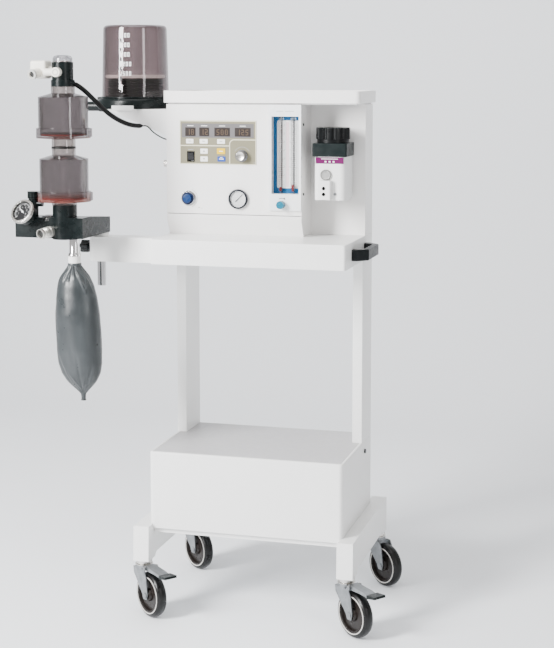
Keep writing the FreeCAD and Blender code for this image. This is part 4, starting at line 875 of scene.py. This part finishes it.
# creases as lines over the bag: angle from the front and height at each end, width, height of the fold
FOLDS = ((-14, 788, -34, 752, 3.2, 2.2), (-2, 788, -8, 755, 2.6, 2.0), (8, 788, 16, 758, 2.6, 2.2),
         (20, 786, 52, 742, 3.0, 3.0), (30, 774, 47, 728, 2.6, 2.6), (47, 728, 62, 760, 2.4, 2.0),
         (38, 788, 70, 752, 3.2, 2.0), (-40, 787, -66, 748, 3.6, 2.0), (62, 770, 74, 730, 3.4, 1.4),
         (10, 600, 14, 512, 3.4, -1.7), (-22, 560, 6, 512, 3.0, 1.6), (30, 548, 18, 514, 3.0, 1.5),
         (-48, 590, -30, 530, 4.5, -1.6), (52, 575, 40, 528, 4.0, -1.5), (-8, 640, 4, 560, 5.0, -0.8))


def bag_fold(angle, z):
    """How far the rubber stands out at a place, from its creases and its slack."""
    lift = 0.0
    for a0, z0, a1, z1, width, height in FOLDS:
        ax, bx = a0 * 0.8, a1 * 0.8
        dx, dz = bx - ax, z1 - z0
        px, pz = angle * 0.8 - ax, z - z0
        share = min(1.0, max(0.0, (px * dx + pz * dz) / (dx * dx + dz * dz)))
        off = math.hypot(px - share * dx, pz - share * dz)
        lift += height * math.exp(-((off / width) ** 2)) * math.sin(math.pi * (0.15 + 0.85 * (1 - share)))
    near_neck = math.exp(-max(0.0, 784 - z) / 16)
    near_foot = math.exp(-max(0.0, z - 508) / 12)
    turn = math.radians(angle)
    gather = abs(math.sin(turn * 6.5 + 0.6 * math.sin(3 * turn)))
    lift += (gather - 0.5) * (2.6 * near_neck * (1 if z < 783 else 0.4)
                              + 1.6 * near_foot * (1 if z > 505 else 0.1))
    slack = noise.noise(Vector((math.sin(turn) * 1.6, math.cos(turn) * 1.6, z / 46)))
    return lift + slack * 1.5 * (1 - near_neck) * (1 if z > 510 else 0.1)


def breathing_bag():
    around, rows = 144, 150
    keys = np.array(BAG_SHAPE)[::-1]
    heights = np.linspace(789.0, 487.0, rows)
    columns = [np.interp(heights, keys[:, 0], keys[:, k]) for k in (1, 2, 3)]
    kernel = np.array([1, 2, 3, 2, 1]) / 9
    columns = [np.convolve(np.pad(c, 2, mode="edge"), kernel, mode="valid") for c in columns]
    points, faces = [], []
    for row, z in enumerate(heights):
        half_x, half_y, shift = (column[row] for column in columns)
        for k in range(around):
            angle = -180 + 360 * k / around
            turn = math.radians(angle)
            lift = bag_fold(angle, z)
            points.append(at(BAG[0] + shift + (half_x + lift) * math.sin(turn),
                             BAG[1] - (half_y + lift) * math.cos(turn), z))
    for row in range(rows - 1):
        for k in range(around):
            j = (k + 1) % around
            faces.append((row * around + k, row * around + j, (row + 1) * around + j, (row + 1) * around + k))
    faces.append(tuple(range(around)))
    faces.append(tuple((rows - 1) * around + k for k in range(around))[::-1])
    obj = mesh_piece("bag_body", points, faces, bag_rubber, "absorber")
    smoother = obj.modifiers.new("smoother", "SUBSURF")
    smoother.levels = 1
    smoother.render_levels = 1
    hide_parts("breathing_bag")
    lathe("bag_cuff", [(8, 0), (14.4, 0), (15.0, 1.4), (15.0, 4.6), (14.4, 6), (8, 6)],
          (BAG[0], BAG[1], 783.6),
          (0, 0, 1), bag_rubber, "absorber", bevel=0.4)
    lathe("bag_neck", [(8, 0), (13.5, 0), (13.5, 15.4), (8, 15.4)], (BAG[0], BAG[1], 789.6), (0, 0, 1),
          cuff_white,
          "absorber", bevel=0.8)
    lathe("bag_tail_ring", [(4.0, 0), (5.9, 0), (5.9, 2.2), (4.0, 2.2)], (BAG[0] + 17, BAG[1], 487.2),
          (0, 0, 1),
          bag_rubber, "absorber", bevel=0.6)


breathing_bag()

# ------------------------------------------------------------ casters
TRAIL = 30.0
TURN = math.radians(-38)
CASTERS = {"front_left": (-231.0, -167.0), "front_right": (231.0, -167.0), "rear_left": (-231.0, 167.0),
           "rear_right": (231.0, 167.0)}


def caster_frame(x, y, c):
    """A point in a caster's own axes: along the trail, across it, and up."""
    dx, dy = c[0] - x, c[1] - y
    return dx * math.cos(TURN) + dy * math.sin(TURN), dy * math.cos(TURN) - dx * math.sin(TURN), c[2]


for name, (x, y) in CASTERS.items():
    axle = (x + TRAIL * math.cos(TURN), y + TRAIL * math.sin(TURN), 50.0)
    across = (-math.sin(TURN), math.cos(TURN), 0.0)

    def is_hub(c, n, x=x, y=y):
        along, side, up = caster_frame(x, y, c)
        return 1 if math.hypot(along - TRAIL, up - 50) < 37.9 else 0

    def fork_zone(c, n, x=x, y=y):
        return 1 if c[2] > 113.9 else 0

    refined(name + "_wheel", [tyre_black, hub_brown], zone=is_hub, bevel=0.0)
    refined(name + "_fork", [zinc, satin_steel], zone=fork_zone, bevel=0.5)
    for side in (-1, 1):
        outward = Vector(across) * side
        lathe("%s_ring_%s" % (name, "inner" if side > 0 else "outer"),
              [(39.4, 0), (41.4, 0), (41.4, 1.6), (40.4, 2.0), (39.4, 1.6)],
              tuple(Vector(axle) + outward * 10.9), tuple(outward), ring_light, name + "_wheel_body")
        lathe("%s_cap_%s" % (name, "inner" if side > 0 else "outer"),
              [(0, 0), (14.5, 0), (13.5, 5.0), (11, 7.6), (0, 8.2)], tuple(Vector(axle) + outward * 5.4),
              tuple(outward), hub_brown, name + "_wheel_body")
    lathe(name + "_race", [(18.4, 0), (19.8, 0.6), (19.8, 1.6), (18.4, 2.2)], (x, y, 112.4), (0, 0, 1),
          satin_steel, name + "_fork_body")
    if name.startswith("front"):
        def pedal_zone(c, n, x=x, y=y):
            return 1 if caster_frame(x, y, c)[0] > 83.9 else 0
        refined(name + "_pedal", [zinc, moulded_black], zone=pedal_zone, bevel=0.8)

# ------------------------------------------------------------ studio
FLOOR_REACH = 9.0           # metres, as are the next three
WALL_TOP = 6.0
WALL_BEHIND = 3.2
CURVE_RADIUS = 1.5
CURVE_STEPS = 16
WORLD_COLOUR = (1.0, 0.975, 0.95, 1)
WORLD_STRENGTH = 0.64
FLOOR_COLOUR = (0.88, 0.90, 0.93)
floor_mesh = bpy.data.meshes.new("floor")
outline = [(-FLOOR_REACH, 0.0), (WALL_BEHIND - CURVE_RADIUS, 0.0)]
outline += [(WALL_BEHIND - CURVE_RADIUS + CURVE_RADIUS * math.sin(t), CURVE_RADIUS - CURVE_RADIUS * math.cos(t))
            for t in (math.pi / 2 * k / CURVE_STEPS for k in range(1, CURVE_STEPS + 1))]
outline += [(WALL_BEHIND, WALL_TOP)]
floor_points = [(side * FLOOR_REACH, y, z) for y, z in outline for side in (-1, 1)]
floor_faces = [(2 * k, 2 * k + 1, 2 * k + 3, 2 * k + 2) for k in range(len(outline) - 1)]
floor_mesh.from_pydata(floor_points, [], floor_faces)
floor_mesh.materials.append(surface("studio", FLOOR_COLOUR, 0.7, bump=0.0, mottle=0.0))
floor_mesh.shade_smooth()
floor = bpy.data.objects.new("floor", floor_mesh)
bpy.context.scene.collection.objects.link(floor)

world = bpy.data.worlds.new("studio_world")
bpy.context.scene.world = world
world.use_nodes = True
world.node_tree.nodes["Background"].inputs["Color"].default_value = WORLD_COLOUR
world.node_tree.nodes["Background"].inputs["Strength"].default_value = WORLD_STRENGTH


def softbox(name, place, target, width, height, power):
    lamp = bpy.data.lights.new(name, "AREA")
    lamp.shape = "RECTANGLE"
    lamp.size = width
    lamp.size_y = height
    lamp.energy = power
    obj = bpy.data.objects.new(name, lamp)
    obj.location = place
    obj.rotation_euler = (Vector(target) - Vector(place)).to_track_quat("-Z", "Y").to_euler()
    bpy.context.scene.collection.objects.link(obj)


softbox("key_light", (-1.9, -2.7, 2.2), (0, 0, 0.8), 0.9, 1.9, 400)
softbox("fill_light", (2.6, -2.2, 1.7), (0, 0, 0.8), 0.5, 1.8, 26)
softbox("top_light", (0.0, -0.5, 3.2), (0, 0, 0.6), 2.0, 2.0, 48)
